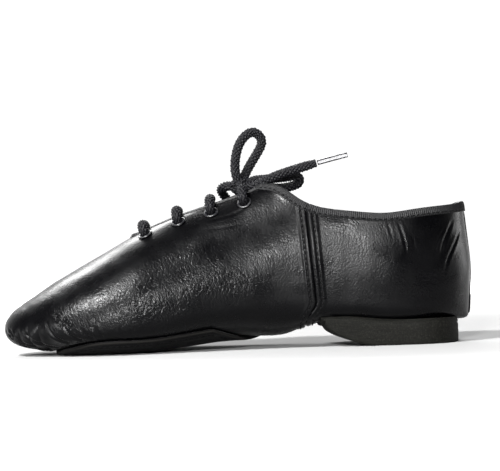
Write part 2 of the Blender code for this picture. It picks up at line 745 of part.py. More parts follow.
def make_cord(name, points, diameter, look=None, ends=1.0):
    """A round cord along the points, with filled ends; ends gives their width to the middle's."""
    curve = bpy.data.curves.new(name, "CURVE")
    curve.dimensions = "3D"
    curve.bevel_depth = diameter / 2
    curve.bevel_resolution = 2
    curve.use_fill_caps = True
    run = curve.splines.new("POLY")
    run.points.add(len(points) - 1)
    for place_on, point in zip(run.points, points):
        place_on.co = (*point, 1.0)
    for number in (0, 1, 2, -3, -2, -1):
        run.points[number].radius = ends
    curve.materials.append(look or CORD)
    cord = bpy.data.objects.new(name, curve)
    COLLECTION.objects.link(cord)
    return cord


def from_eyelet(number, side):
    """Route out of an eyelet: up its bore, over its flange and on to the edge of the throat."""
    centre, axis, up = eyelet_frame(number, side)
    over = LACE_DIAMETER / 2 + EYELET_RIM + 3 * FIT_GAP
    return [
        centre - axis * (UPPER_WALL - FIT_GAP),
        centre + axis * (0.35 * over),
        centre + axis * (0.82 * over) + up * (0.07 * EYELET_INSET),
        centre + axis * (1.00 * over) + up * (0.34 * EYELET_INSET),
        centre + axis * (0.95 * over) + up * (0.80 * EYELET_INSET),
    ]


def make_lace_bar(number):
    """A straight bar over the throat, out of one eyelet and into the one across."""
    along = np.array([FIRST_EYELET - number * EYELET_PITCH])
    full = section(along, 1)[2][:, -1:]
    top = skin(along, full, 1, LACE_DIAMETER / 4)[0, 0]
    route = from_eyelet(number, 1) + [Vector(top)] + from_eyelet(number, -1)[::-1]
    name = f"lace_bar_{number + 1}"
    return make_cord(name, smooth_route(route, 15), LACE_DIAMETER, ends=LACE_SQUEEZE / LACE_DIAMETER)


def make_lace_top(name, side):
    """From the last eyelet up to the side of the knot."""
    knot = Vector(KNOT_PLACE)
    reach = KNOT_SIZE[1] / 2 + FIT_GAP
    end = knot + Vector((0, side * (reach + LACE_DIAMETER / 4), -LACE_DIAMETER / 4))
    route = from_eyelet(EYELET_COUNT - 1, side) + [end]
    return make_cord(name, smooth_route(route, 8), LACE_DIAMETER, ends=LACE_SQUEEZE / LACE_DIAMETER)


def make_knot():
    """The bow's knot as one lump."""
    mesh = bpy.data.meshes.new("lace_knot")
    work = bmesh.new()
    size = Matrix.Diagonal((*KNOT_SIZE, 1.0))
    bmesh.ops.create_uvsphere(
        work, u_segments=12, v_segments=7, radius=0.5, matrix=Matrix.Translation(KNOT_PLACE) @ size
    )
    work.to_mesh(mesh)
    work.free()
    return place("lace_knot", mesh, CORD)


def make_end(name, route):
    """A free end of the lace and its stiff clear tip, end to end."""
    points = smooth_route(route, 33)
    run = np.concatenate([[0], np.cumsum(np.linalg.norm(np.diff(points, axis=0), axis=1))])
    tip_start = run[-1] - AGLET_LENGTH
    soft = np.linspace(0, tip_start - FIT_GAP, 9)
    stiff = np.linspace(tip_start, run[-1], 4)
    cord = np.column_stack([np.interp(soft, run, points[:, axis]) for axis in range(3)])
    tip = np.column_stack([np.interp(stiff, run, points[:, axis]) for axis in range(3)])
    make_cord(name, cord, LACE_DIAMETER)
    make_cord(name + "_tip", tip, AGLET_DIAMETER, CLEAR)


def far_end_route():
    """The other end's points: off the knot, over the edge of the throat and down the outer side."""
    knot = Vector(KNOT_PLACE)
    lift = LACE_DIAMETER / 2 + 2 * FIT_GAP
    route = [
        knot + Vector((0.0064, -0.0012, 0.0004)),
        knot + Vector((0.0092, -0.0052, -0.0006)),
    ]
    for along, below in FAR_END_ROUTE:
        where = np.array([along])
        around = wall_edge(where, -1)[:, None] - below
        route.append(skin(where, around, -1, lift)[0, 0])
    return route


bpy.context.scene.collection.children.link(COLLECTION)
bpy.context.scene.collection.children.link(CUTTERS)

UPPER = make_upper()
make_forefoot_sole()
make_heel()
make_insole()
make_tongue()
make_collar_binding()
for number in range(EYELET_COUNT):
    for side, label in ((1, "inner"), (-1, "outer")):
        centre, axis, up = eyelet_frame(number, side)
        make_eyelet(f"eyelet_{label}_{number + 1}", centre, axis, UPPER)
for number in range(EYELET_COUNT - 1):
    make_lace_bar(number)
make_lace_top("lace_top_inner", 1)
make_lace_top("lace_top_outer", -1)
make_knot()
make_cord("lace_loop_up", smooth_route(LOOP_UP_ROUTE, 17), LACE_DIAMETER)
make_cord("lace_loop_side", smooth_route(LOOP_SIDE_ROUTE, 16), LACE_DIAMETER)
make_end("lace_end_near", NEAR_END_ROUTE)
make_end("lace_end_far", far_end_route())
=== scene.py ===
"""A child's right jazz shoe: soft black leather, split sole, braided lace tied in a bow.

Metres, +X to the toe, +Y to the inner side of the foot, +Z up, the floor at 0.
"""

import math

import bmesh
import bpy
import numpy as np
from mathutils import Matrix, Vector


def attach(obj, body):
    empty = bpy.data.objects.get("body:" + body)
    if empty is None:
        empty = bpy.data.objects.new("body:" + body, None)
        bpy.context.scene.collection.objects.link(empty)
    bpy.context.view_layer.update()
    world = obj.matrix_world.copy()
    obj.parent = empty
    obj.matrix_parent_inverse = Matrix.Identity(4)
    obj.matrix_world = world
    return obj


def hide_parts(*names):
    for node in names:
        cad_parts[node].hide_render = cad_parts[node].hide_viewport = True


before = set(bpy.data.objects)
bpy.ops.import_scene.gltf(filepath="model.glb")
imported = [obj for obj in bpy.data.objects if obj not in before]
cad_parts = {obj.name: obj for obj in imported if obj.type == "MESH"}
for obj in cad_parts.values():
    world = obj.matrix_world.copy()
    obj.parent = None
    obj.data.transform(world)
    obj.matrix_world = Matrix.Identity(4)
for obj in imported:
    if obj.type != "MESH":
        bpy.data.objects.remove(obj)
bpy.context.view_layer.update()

# Vamp and quarters: soft black nappa in two panels a side, pulled wet over a last and turned
# under. They meet in an open seam down each side, pressed flat and sewn with two rows. Round the
# toe the spare leather is gathered into pleats under the edge of the patch.
SHOE_LENGTH = 0.2106
BALL_WIDTH = 0.0726
INSTEP_HEIGHT = 0.0660
BACK_HEIGHT = 0.0622
SEAT_HEIGHT = 0.0104
TOE_SPRING = 0.0109
TOE_SWING = 0.0030
SWING_START = 0.6
BACK_BULGE = 0.0026
BALL_LEVEL = 0.0017
LEATHER_WALL = 0.0014
FIT_GAP = 0.0003
SEAM_PLACE = 0.0715
SEAM_BAND = 0.0084
SEAM_STEP = 0.0004
SEAM_RUN = 0.0009
SEAM_ROWS = 0.0027
SEAM_ROW_DEPTH = 0.00024
SEAM_RIDGE = 0.00012
SEAM_GROOVE = 0.00055
SEAM_GROOVE_WIDTH = 0.00042
SEAM_LEAN = 0.076
SEAM_TURN = 0.0055
SEAM_SPREAD = 0.0120
THROAT_END = 0.1529
THROAT_RADIUS = 0.0055
THROAT_GAP = 0.0200
TAPE_HEIGHT = 0.0032
TAPE_NARROWS = 0.0935
CORNER_RADIUS = 0.0040
CORNER_RISE = 0.0600
HEEL_BACK = 0.0052
HEEL_WIDTH = 0.0458
HEEL_FLAT_END = 0.0430
UNDER_LAP = 0.0070
OPENING_REAR = 0.1260
OPENING_FRONT = 0.1795
PATCH_HALF_WIDTH = 0.460
LAST_SECTIONS = np.array([
    # along  inner  outer  seat   spring rise   belly  square full
    [0.000,  0.000, 0.000, 1.150, 0.000, 1.256, 0.168, 3.6,   2.1],
    [0.020,  0.158, 0.158, 0.940, 0.000, 1.280, 0.148, 3.6,   2.1],
    [0.060,  0.272, 0.272, 1.000, 0.000, 1.260, 0.138, 4.2,   2.1],
    [0.120,  0.342, 0.344, 1.000, 0.000, 1.245, 0.138, 4.6,   2.1],
    [0.200,  0.364, 0.374, 1.010, 0.000, 1.213, 0.145, 4.6,   2.1],
    [0.300,  0.358, 0.388, 1.090, 0.000, 1.143, 0.170, 4.0,   2.1],
    [0.400,  0.362, 0.416, 0.450, 0.000, 1.129, 0.252, 2.9,   2.0],
    [0.480,  0.386, 0.448, 0.440, 0.000, 1.012, 0.270, 2.6,   1.9],
    [0.560,  0.424, 0.478, 0.370, 0.000, 0.924, 0.273, 2.6,   1.85],
    [0.640,  0.466, 0.498, 0.140, 0.000, 0.862, 0.262, 2.7,   1.85],
    [0.700,  0.490, 0.500, 0.020, 0.000, 0.792, 0.264, 2.8,   1.85],
    [0.780,  0.484, 0.466, 0.000, 0.000, 0.658, 0.285, 2.8,   1.85],
    [0.860,  0.424, 0.396, 0.000, 0.014, 0.518, 0.320, 2.6,   1.9],
    [0.930,  0.306, 0.284, 0.000, 0.110, 0.367, 0.380, 2.4,   2.0],
    [0.980,  0.176, 0.164, 0.000, 0.385, 0.214, 0.440, 2.2,   2.0],
    [1.000,  0.000, 0.000, 0.000, 1.000, 0.000, 0.500, 2.0,   2.0],
])
COLLAR_LINE = np.array([
    # along  height
    [0.000,  1.000],
    [0.050,  0.984],
    [0.110,  0.967],
    [0.185,  0.943],
    [0.250,  0.962],
    [0.310,  0.996],
    [0.350,  1.047],
    [0.390,  1.130],
    [0.425,  1.178],
    [0.450,  1.199],
    [0.470,  1.297],
    [0.500,  1.646],
])
BACK_LINE = np.array([
    # height inset
    [0.000,  0.700],
    [0.180,  0.550],
    [0.350,  0.250],
    [0.520,  0.000],
    [0.700,  0.280],
    [0.860,  0.650],
    [1.000,  0.920],
    [1.600,  1.200],
])


def spline(table, column, at):
    """Natural cubic spline through one column of a table, over its first column: between two
    rows a cubic whose bends, from one tridiagonal solve, match those of its neighbours."""
    x, y = table[:, 0], table[:, column]
    step = np.diff(x)
    slope = np.diff(y) / step
    count = len(x)
    matrix, right = np.eye(count), np.zeros(count)
    middle = np.arange(1, count - 1)
    matrix[middle, middle - 1] = step[:-1]
    matrix[middle, middle] = 2 * (step[:-1] + step[1:])
    matrix[middle, middle + 1] = step[1:]
    right[middle] = 6 * np.diff(slope)
    bend = np.linalg.solve(matrix, right)
    at = np.clip(at, x[0], x[-1])
    i = np.clip(np.searchsorted(x, at) - 1, 0, count - 2)
    left, h = at - x[i], step[i]
    return (
        y[i]
        + left * (slope[i] - h * (2 * bend[i] + bend[i + 1]) / 6)
        + left**2 * bend[i] / 2
        + left**3 * (bend[i + 1] - bend[i]) / (6 * h)
    )


def round_ends(share):
    """The angle of a half circle at a share of its width, so that ends come out round."""
    return np.arccos(1 - 2 * np.clip(share, 0, 1))


def smooth_step(value):
    """0 to 1 with level ends: three squares less two cubes."""
    value = np.clip(value, 0, 1)
    return value * value * (3 - 2 * value)


def hill(distance, width):
    """A bell curve, 1 at distance 0."""
    return np.exp(-((distance / width) ** 2))


def run_along(path):
    """Running length at each point of a path: the sum of the steps before it."""
    return np.concatenate([[0], np.cumsum(np.linalg.norm(np.diff(path, axis=0), axis=1))])


ROUNDED_SECTIONS = np.column_stack([round_ends(LAST_SECTIONS[:, 0]), LAST_SECTIONS[:, 1:]])
SECTION_STEPS = 240


def section(along, side):
    """Half sections of the last. Each half is two quarters of a superellipse, cosine across and
    sine up, raised to 2 over the section's squareness, and joined at its widest level."""
    angle = round_ends(along / SHOE_LENGTH)
    inner, outer, seat, spring, rise, belly, square, full = (
        spline(ROUNDED_SECTIONS, column, angle)[:, None] for column in range(1, 9)
    )
    half = np.maximum(inner if side > 0 else outer, 0) * BALL_WIDTH
    under = BALL_LEVEL + seat * (SEAT_HEIGHT - BALL_LEVEL) + spring * TOE_SPRING
    tall = np.maximum(rise, 0) * INSTEP_HEIGHT
    turn = np.linspace(-math.pi / 2, math.pi / 2, SECTION_STEPS + 1)[None, :]
    power = np.where(turn < 0, 2 / square, 2 / full)
    reach = np.where(turn < 0, tall * belly, tall * (1 - belly))
    y = half * np.cos(turn).clip(0) ** power
    z = under + tall * belly + reach * np.sign(turn) * np.abs(np.sin(turn)) ** power
    length = np.cumsum(np.hypot(np.diff(y, prepend=y[:, :1]), np.diff(z, prepend=z[:, :1])), axis=1)
    return y, z, length


def look_up(wanted, table, values):
    """Linear look-up of each row's own table in one call: the rows are set apart by an offset."""
    apart = 10.0 * np.arange(len(table))[:, None]
    flat = np.interp((wanted + apart).ravel(), (table + apart).ravel(), values.ravel())
    return flat.reshape(wanted.shape)


def last_surface(along, around, side):
    """The last's skin, by the distance from the back and the running length up one side from the
    middle of the underside. The back seam bulges, the side seam leans and the toe swings in."""
    y, z, length = section(along, side)
    around = np.clip(around, 0, length[:, -1:])
    y, z = look_up(around, length, y), look_up(around, length, z)
    inset = BACK_BULGE * spline(BACK_LINE, 1, z / BACK_HEIGHT)
    near_back = np.clip(1 - along[:, None] / SEAM_PLACE, 0, 1) ** 2
    low = np.clip((2 * SEAT_HEIGHT - z) / SEAT_HEIGHT, 0, 1)
    lean = SEAM_LEAN * (z - BACK_HEIGHT / 2) + SEAM_TURN * smooth_step(low)
    lean = lean * hill(along[:, None] - SEAM_PLACE, SEAM_SPREAD)
    ahead = (along[:, None] / SHOE_LENGTH - SWING_START) / (1 - SWING_START)
    swing = TOE_SWING * smooth_step(ahead)
    x = along[:, None] - SHOE_LENGTH / 2 + inset * near_back + lean
    return np.stack([x, swing + side * y, z], axis=-1)


def normals(along, around, side):
    """Outward unit normals: the cross product of small steps along the shoe and around it."""
    step = 0.0002
    full = section(along, side)[2][:, -1:]
    near, far = np.maximum(along - step, 0), np.minimum(along + step, SHOE_LENGTH)
    share = around / np.maximum(full, step)
    forward = last_surface(far, share * section(far, side)[2][:, -1:], side) - last_surface(
        near, share * section(near, side)[2][:, -1:], side
    )
    up = last_surface(along, np.minimum(around + step, full), side) - last_surface(
        along, np.maximum(around - step, 0), side
    )
    across = np.cross(forward, up) * -side
    across[..., 1] = np.where((around <= 0) | (around >= full), 0, across[..., 1])
    across[along <= 0, :, 1] = 0
    size = np.linalg.norm(across, axis=-1, keepdims=True)
    at_pole = np.zeros(across.shape)
    at_pole[..., 0] = np.where(along > SHOE_LENGTH / 2, 1.0, -1.0)[:, None]
    return np.where(size > 1e-12, across / np.maximum(size, 1e-12), at_pole)


def skin(along, around, side, lift=0.0):
    """The last's skin, lifted off it along the outward normal."""
    around = np.broadcast_to(around, (len(along), np.shape(around)[-1])).astype(float)
    points = last_surface(along, around, side)
    return points + normals(along, around, side) * np.asarray(lift)[..., None]


def throat_half_gap(along):
    """Half the gap between the throat's edges: a round end, then straight edges that open."""
    back = np.maximum(THROAT_END - along, 0)
    turn = np.clip(THROAT_RADIUS - back, 0, None)
    round_end = np.sqrt(np.maximum(THROAT_RADIUS**2 - turn**2, 0))
    run = THROAT_END - THROAT_RADIUS - TAPE_NARROWS
    opening = THROAT_GAP / 2 - THROAT_RADIUS
    gap = round_end + opening * np.clip((back - THROAT_RADIUS) / run, 0, 1.2)
    return gap * smooth_step(2 * along / TAPE_NARROWS)


def top_edge(along, side):
    """Running length up to the leather's top edge: the smooth minimum of the length where the
    throat opens and the length at the collar's line."""
    y, z, length = section(along, side)
    line = BACK_HEIGHT * spline(COLLAR_LINE, 1, along / SHOE_LENGTH)
    gap = throat_half_gap(along)
    upper = slice(SECTION_STEPS // 2, None)
    rows = range(len(along))
    at_gap = np.array([np.interp(-gap[i], -y[i, upper], length[i, upper]) for i in rows])
    at_line = np.array([np.interp(line[i], z[i, upper], length[i, upper]) for i in rows])
    at_gap = np.where(along >= THROAT_END, length[:, -1], at_gap)
    rise = CORNER_RISE * smooth_step((along - TAPE_NARROWS) / CORNER_RADIUS)
    at_tape = at_line - TAPE_HEIGHT - FIT_GAP + rise
    share = np.clip(0.5 + 0.5 * (at_tape - at_gap) / CORNER_RADIUS, 0, 1)
    return at_tape * (1 - share) + at_gap * share - CORNER_RADIUS * share * (1 - share)


def opening_half(along, rear, front, half):
    """Half width of an opening underneath, an oval with blunt ends."""
    place = np.clip((2 * along - rear - front) / (front - rear), -1, 1)
    return half * (1 - np.abs(place) ** 3) ** (1 / 3)


def under_edge(along):
    """Running length where the leather starts: 0 where it closes the underside."""
    heel = opening_half(
        along, HEEL_BACK + UNDER_LAP, HEEL_FLAT_END, HEEL_WIDTH / 2 - UNDER_LAP
    )
    patch = opening_half(
        along, OPENING_REAR, OPENING_FRONT, PATCH_HALF_WIDTH * BALL_WIDTH - UNDER_LAP
    )
    return np.maximum(heel, patch)


def wander(u, v, pitch, seed):
    """A smooth uneven field from about -1 to 1: a sum of ten plane waves in seeded directions."""
    dice = np.random.default_rng(seed)
    turn, phase = dice.uniform(0, 2 * np.pi, (2, 10))
    wave = 2 * np.pi / (pitch * dice.uniform(0.7, 1.5, 10))
    total = sum(
        np.sin((u * math.cos(a) + v * math.sin(a)) * w + p) for a, w, p in zip(turn, wave, phase)
    )
    return total / 4.5


# Creases of the worn-in leather: distance from the back and height of each one's points, its
# depth and its width, all in millimetres, on the side that they are on.
SIDE_CREASES = [
    (1, 0.60, 1.2, [(6.5, 55), (11.5, 47), (14, 41), (14.5, 35)]),
    (1, 0.50, 1.1, [(3.0, 51), (8.0, 43), (12.0, 36), (13.5, 29)]),
    (1, 0.30, 0.8, [(10.5, 52), (15.5, 45), (18, 38)]),
    (1, 0.36, 0.7, [(33.5, 55.5), (31.5, 49), (30.5, 43), (31.0, 38)]),
    (1, 0.24, 0.6, [(38.5, 56), (37.0, 51), (36, 46)]),
    (1, 0.20, 0.6, [(28.0, 50), (26.6, 45), (26.8, 40)]),
    (1, 0.30, 1.4, [(58, 13.6), (66, 15.6), (70, 18.5)]),
    (1, 0.20, 1.1, [(96, 66), (103, 61.5), (112, 58.8), (124, 56.8)]),
    (1, 0.16, 1.0, [(88, 61), (98, 57), (110, 54.5), (122, 53.5)]),
    (-1, 0.40, 1.3, [(6, 54), (12, 47), (15, 38), (15.5, 30)]),
    (-1, 0.26, 1.0, [(30, 56), (32, 49), (31, 41)]),
    (-1, 0.18, 1.0, [(22, 29), (34, 32), (50, 30)]),
    (-1, 0.28, 1.3, [(57, 14), (65, 15.8), (71, 19)]),
    (-1, 0.20, 1.1, [(96, 65), (105, 60), (118, 57)]),
    (-1, 0.22, 1.4, [(134, 14), (141, 22), (143, 31)]),
    (-1, 0.20, 1.3, [(126, 15), (131, 24), (132, 33)]),
]
# Pleats beside the toe: depth, width, and points by distance from the back and height, all in
# millimetres. They leave the patch's edge nearly along it and curve up and forward.
TOE_PLEATS = [
    (1.178, 0.8075, [(190.5, 2.4), (197.5, 4.6), (204.0, 7.6), (209.6, 12.0)]),
    (1.254, 0.8075, [(189.5, 3.6), (197.0, 5.8), (203.7, 8.6), (207.9, 13.4)]),
    (1.254, 0.8500, [(185.0, 4.4), (190.5, 5.8), (196.4, 8.4), (201.3, 13.0)]),
    (1.102, 0.8500, [(179.5, 6.4), (184.6, 8.6), (188.6, 13.4), (190.0, 16.5)]),
    (0.950, 0.8075, [(173.4, 7.6), (177.8, 9.4), (180.6, 12.8), (181.6, 15.5)]),
    (0.798, 0.7650, [(168.4, 8.2), (171.4, 10.0), (173.2, 12.6)]),
    (0.722, 0.7650, [(164.2, 8.8), (166.4, 10.8), (167.6, 13.6)]),
    (0.608, 0.7650, [(154.6, 8.8), (156.0, 10.6), (156.8, 12.6)]),
]
# Pleats round the front: how many lie between the middle and the side, the point that they fan
# out from, their depth, and the height and place within which they lie.
FRONT_PLEATS = 9
FRONT_CENTRE = (0.0730, 0.0030)
FRONT_DEPTH = 0.00095
FRONT_TOP = 0.0150
FRONT_FADE = 0.0070
FRONT_START = 0.0800
# Unevenness of the leather between the creases: height, pitch and seed of each sum of waves.
LOOSE_WAVES = ((0.00012, 0.026, 3), (0.00003, 0.009, 5))
LOOSE_REACH = 0.012
# Seam under the waist: where it ends, the groove and the leather puffed up beside it.
UNDER_SEAM_FRONT = 0.1120
UNDER_SEAM_FADE = 0.0030
UNDER_SEAM_DEPTH = 0.00050
UNDER_SEAM_WIDTH = 0.00060
UNDER_PUFF = 0.00022
UNDER_PUFF_PLACE = 0.0016
UNDER_PUFF_WIDTH = 0.0009
WELD_DISTANCE = 2e-7


def crease_relief(points, path, depth, width, fade_in=0.0):
    """A soft trough along a path, with a low ridge on each side of it: less a bell curve of the
    distance to the path, plus a wider one, both dying out at the path's ends."""
    low, high = path.min(axis=0) - 6 * width, path.max(axis=0) + 6 * width
    near = np.all((points > low) & (points < high), axis=-1)
    close = points[near]
    legs, run = np.diff(path, axis=0), run_along(path)
    best, place = np.full(len(close), np.inf), np.zeros(len(close))
    for start, leg, from_start in zip(path[:-1], legs, run):
        share = np.clip((close - start) @ leg / (leg @ leg), 0, 1)
        away = np.linalg.norm(close - start - share[:, None] * leg, axis=1)
        nearer = away < best
        best[nearer] = away[nearer]
        place[nearer] = (from_start + share * np.linalg.norm(leg))[nearer]
    ends = smooth_step((run[-1] - place) / (0.35 * run[-1]))
    ends = ends * np.maximum(smooth_step(place / (0.3 * run[-1])), fade_in)
    relief = np.zeros(points.shape[:-1])
    relief[near] = depth * ends * (0.62 * hill(best, 2.1 * width) - 1.2 * hill(best, 0.75 * width))
    return relief


def path_on_skin(marks, side):
    """Points of the last's skin on one side, by distance from the back and height, joined by a
    smooth curve: the running length where the section reaches the height."""
    marks = np.array(marks) / 1000
    run = run_along(marks)
    table = np.column_stack([run, marks])
    fine = np.linspace(0, run[-1], 25)
    along, height = spline(table, 1, fine), spline(table, 2, fine)
    _, z, length = section(along, side)
    around = np.array([np.interp(height[i], z[i], length[i]) for i in range(len(fine))])
    return last_surface(along, around[:, None], side)[:, 0]


def seam_relief(along):
    """The pressed seam: a raised band with soft edges and a groove where the panels meet."""
    off = np.abs(along - SEAM_PLACE)
    band = smooth_step((SEAM_BAND / 2 + SEAM_RUN - off) / (2.5 * SEAM_RUN))
    ridge = SEAM_RIDGE * hill(off - 0.0012, 0.0007)
    rows = SEAM_ROW_DEPTH * hill(off - SEAM_ROWS, 0.00050)
    return SEAM_STEP * band + ridge - SEAM_GROOVE * hill(off, SEAM_GROOVE_WIDTH) - rows


def leather_relief(points, along, around, side):
    """Height of the leather over the last: seam, pull of the lasting, creases and pleats."""
    relief = np.broadcast_to(seam_relief(along)[:, None], around.shape).copy()
    u, v = along[:, None], around * side
    loose = sum(height * wander(u, v, pitch, seed) for height, pitch, seed in LOOSE_WAVES)
    relief += loose * smooth_step(around / LOOSE_REACH)
    for crease_side, depth, width, marks in SIDE_CREASES:
        if crease_side == side:
            path = path_on_skin(marks, side)
            relief += crease_relief(points, path, depth / 1000, width / 1000)
    for number, (depth, width, marks) in enumerate(TOE_PLEATS):
        shift = 0.0 if side > 0 else 1.6 * math.sin(2.3 * number)
        path = path_on_skin([(s + shift, z) for s, z in marks], side)
        relief += crease_relief(points, path, depth / 1000, width / 1000, fade_in=1.0)
    waist = smooth_step((along - SEAM_PLACE) / UNDER_SEAM_FADE)
    waist = (waist * smooth_step((UNDER_SEAM_FRONT - along) / UNDER_SEAM_FADE))[:, None]
    relief -= UNDER_SEAM_DEPTH * hill(around, UNDER_SEAM_WIDTH) * waist
    relief += UNDER_PUFF * hill(around - UNDER_PUFF_PLACE, UNDER_PUFF_WIDTH) * waist
    x, y, z = points[..., 0], points[..., 1], points[..., 2]
    ahead = np.maximum(x - FRONT_CENTRE[0], 1e-6)
    fan = np.arctan2(y - FRONT_CENTRE[1], ahead)
    place = fan / (math.pi / 2) * (FRONT_PLEATS - 0.5) + 0.25 * np.sin(3 * fan) + 0.5
    lobes = np.abs(np.sin(math.pi * place)) ** 0.65 - 0.62
    under = smooth_step((FRONT_TOP - z) / FRONT_FADE) * smooth_step((x - FRONT_START) / 0.0040)
    middle = smooth_step((1.25 - np.abs(fan)) / 0.25)
    relief += FRONT_DEPTH * lobes * under * middle
    return relief


def mesh_of(name, points, faces):
    """A mesh from arrays of points and of quads, with the rows that meet at one place welded."""
    mesh = bpy.data.meshes.new(name)
    points, faces = np.reshape(points, (-1, 3)), np.reshape(faces, (-1, 4))
    keys = np.round(points / WELD_DISTANCE).astype(np.int64)
    _, first, same = np.unique(keys, axis=0, return_index=True, return_inverse=True)
    points, faces = points[first], same.reshape(-1)[faces]
    rolled = np.roll(faces, -1, axis=1)
    kept = faces != rolled
    sides = kept.sum(axis=1)
    faces, kept, sides = faces[sides > 2], kept[sides > 2], sides[sides > 2]
    corners = faces[kept]
    mesh.vertices.add(len(points))
    mesh.vertices.foreach_set("co", points.astype(np.float32).ravel())
    mesh.loops.add(len(corners))
    mesh.loops.foreach_set("vertex_index", corners.astype(np.int32))
    mesh.polygons.add(len(sides))
    starts = np.concatenate([[0], np.cumsum(sides)[:-1]]).astype(np.int32)
    mesh.polygons.foreach_set("loop_start", starts)
    mesh.update(calc_edges=True)
    mesh.validate()
    mesh.shade_smooth()
    return mesh, first


def quads(rows, columns, first=0, flip=False, wrap=False):
    """Corner numbers of the quads of a grid of points; wrap joins the last row to the first."""
    i = np.arange(rows if wrap else rows - 1)[:, None] % rows
    j = np.arange(columns - 1)[None, :]
    a, b = i * columns + j, (i + 1) % rows * columns + j
    corners = np.stack([a, b, b + 1, a + 1], axis=-1).reshape(-1, 4) + first
    return corners[:, ::-1] if flip else corners


def put_map(mesh, first, u, v):
    """The cut's own UV map, in millimetres, from one pair of numbers a point."""
    pair = np.stack([np.ravel(u), np.ravel(v)], axis=-1)[first].astype(np.float32)
    corner = np.empty(len(mesh.loops), np.int32)
    mesh.loops.foreach_get("vertex_index", corner)
    mesh.uv_layers.new(name="cut").data.foreach_set("uv", pair[corner].ravel())


def piece(name, mesh, look, slot, *nodes):
    """Puts a mesh on the shoe's body, with its finish and the solids that it stands for."""
    made = bpy.data.objects.new(name, mesh)
    bpy.context.scene.collection.objects.link(made)
    mesh.materials.append(look)
    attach(made, "root")
    if nodes:
        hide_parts(*nodes)
    return made


def finish_of(name, colour, roughness, **sockets):
    """A material with a Principled shader and these plain values."""
    made = bpy.data.materials.new(name)
    made.use_nodes = True
    shader = made.node_tree.nodes["Principled BSDF"]
    shader.inputs["Base Color"].default_value = (*colour, 1.0)
    shader.inputs["Roughness"].default_value = roughness
    for socket, value in sockets.items():
        shader.inputs[socket.replace("_", " ")].default_value = value
    return made, made.node_tree, shader


def node(tree, kind, settings=(), **inputs):
    """A node with its settings, and its inputs set to values or linked to other sockets."""
    made = tree.nodes.new("ShaderNode" + kind)
    for name, value in dict(settings).items():
        setattr(made, name, value)
    for name, value in inputs.items():
        key = name.replace("_", " ") if not name.startswith("in") else int(name[2:])
        if isinstance(value, bpy.types.NodeSocket):
            tree.links.new(value, made.inputs[key])
        else:
            made.inputs[key].default_value = value
    return made


# Wrinkle nets of the leather: lean in degrees, length and width of a cell in millimetres, and how
# far the side of a wrinkle reaches, as a share of a cell.
WRINKLE_NETS = (
    (56, 2.5, 0.84, 0.32),
    (72, 5.4, 1.80, 0.22),
)
WRINKLE_BEND = 2.0
WRINKLE_HEIGHT = 0.000048


def noise(tree, place, scale, detail, roughness=0.5):
    """Uneven noise from 0 to 1."""
    made = node(
        tree, "TexNoise", Vector=place, Scale=scale, Detail=detail, Roughness=roughness
    )
    return made.outputs["Fac"]


def ranged(tree, value, start=0.0, end=1.0, low=0.0, high=1.0, kind="LINEAR"):
    """A number carried from one range into another."""
    made = node(
        tree, "MapRange", {"interpolation_type": kind}, Value=value,
        From_Min=start, From_Max=end, To_Min=low, To_Max=high,
    )
    return made.outputs["Result"]


def joined(tree, operation, one, two):
    """Two numbers joined by a sum, a product or the like."""
    return node(tree, "Math", {"operation": operation}, in0=one, in1=two).outputs["Value"]


def bump(tree, strength, distance, height, under=None, invert=False):
    """Normals tilted by a height, over other normals where these are given."""
    made = node(
        tree, "Bump", {"invert": invert}, Strength=strength, Distance=distance, Height=height
    )
    if under is not None:
        tree.links.new(under, made.inputs["Normal"])
    return made.outputs["Normal"]


def blend(tree, share, low, high):
    """A colour between two others, by a share from 0 to 1."""
    low, high = (
        part if isinstance(part, bpy.types.NodeSocket) else (*part, 1) for part in (low, high)
    )
    return node(tree, "Mix", {"data_type": "RGBA"}, in0=share, in6=low, in7=high).outputs[2]


def lighter(colour, times):
    """A colour with each part multiplied."""
    return tuple(times * part for part in colour)


def number_on(tree, name):
    """A number kept on the mesh's points."""
    return node(tree, "Attribute", {"attribute_name": name}).outputs["Fac"]


def feed(tree, shader, **sockets):
    """Links outputs to the shader's sockets."""
    for socket, output in sockets.items():
        tree.links.new(output, shader.inputs[socket.replace("_", " ")])


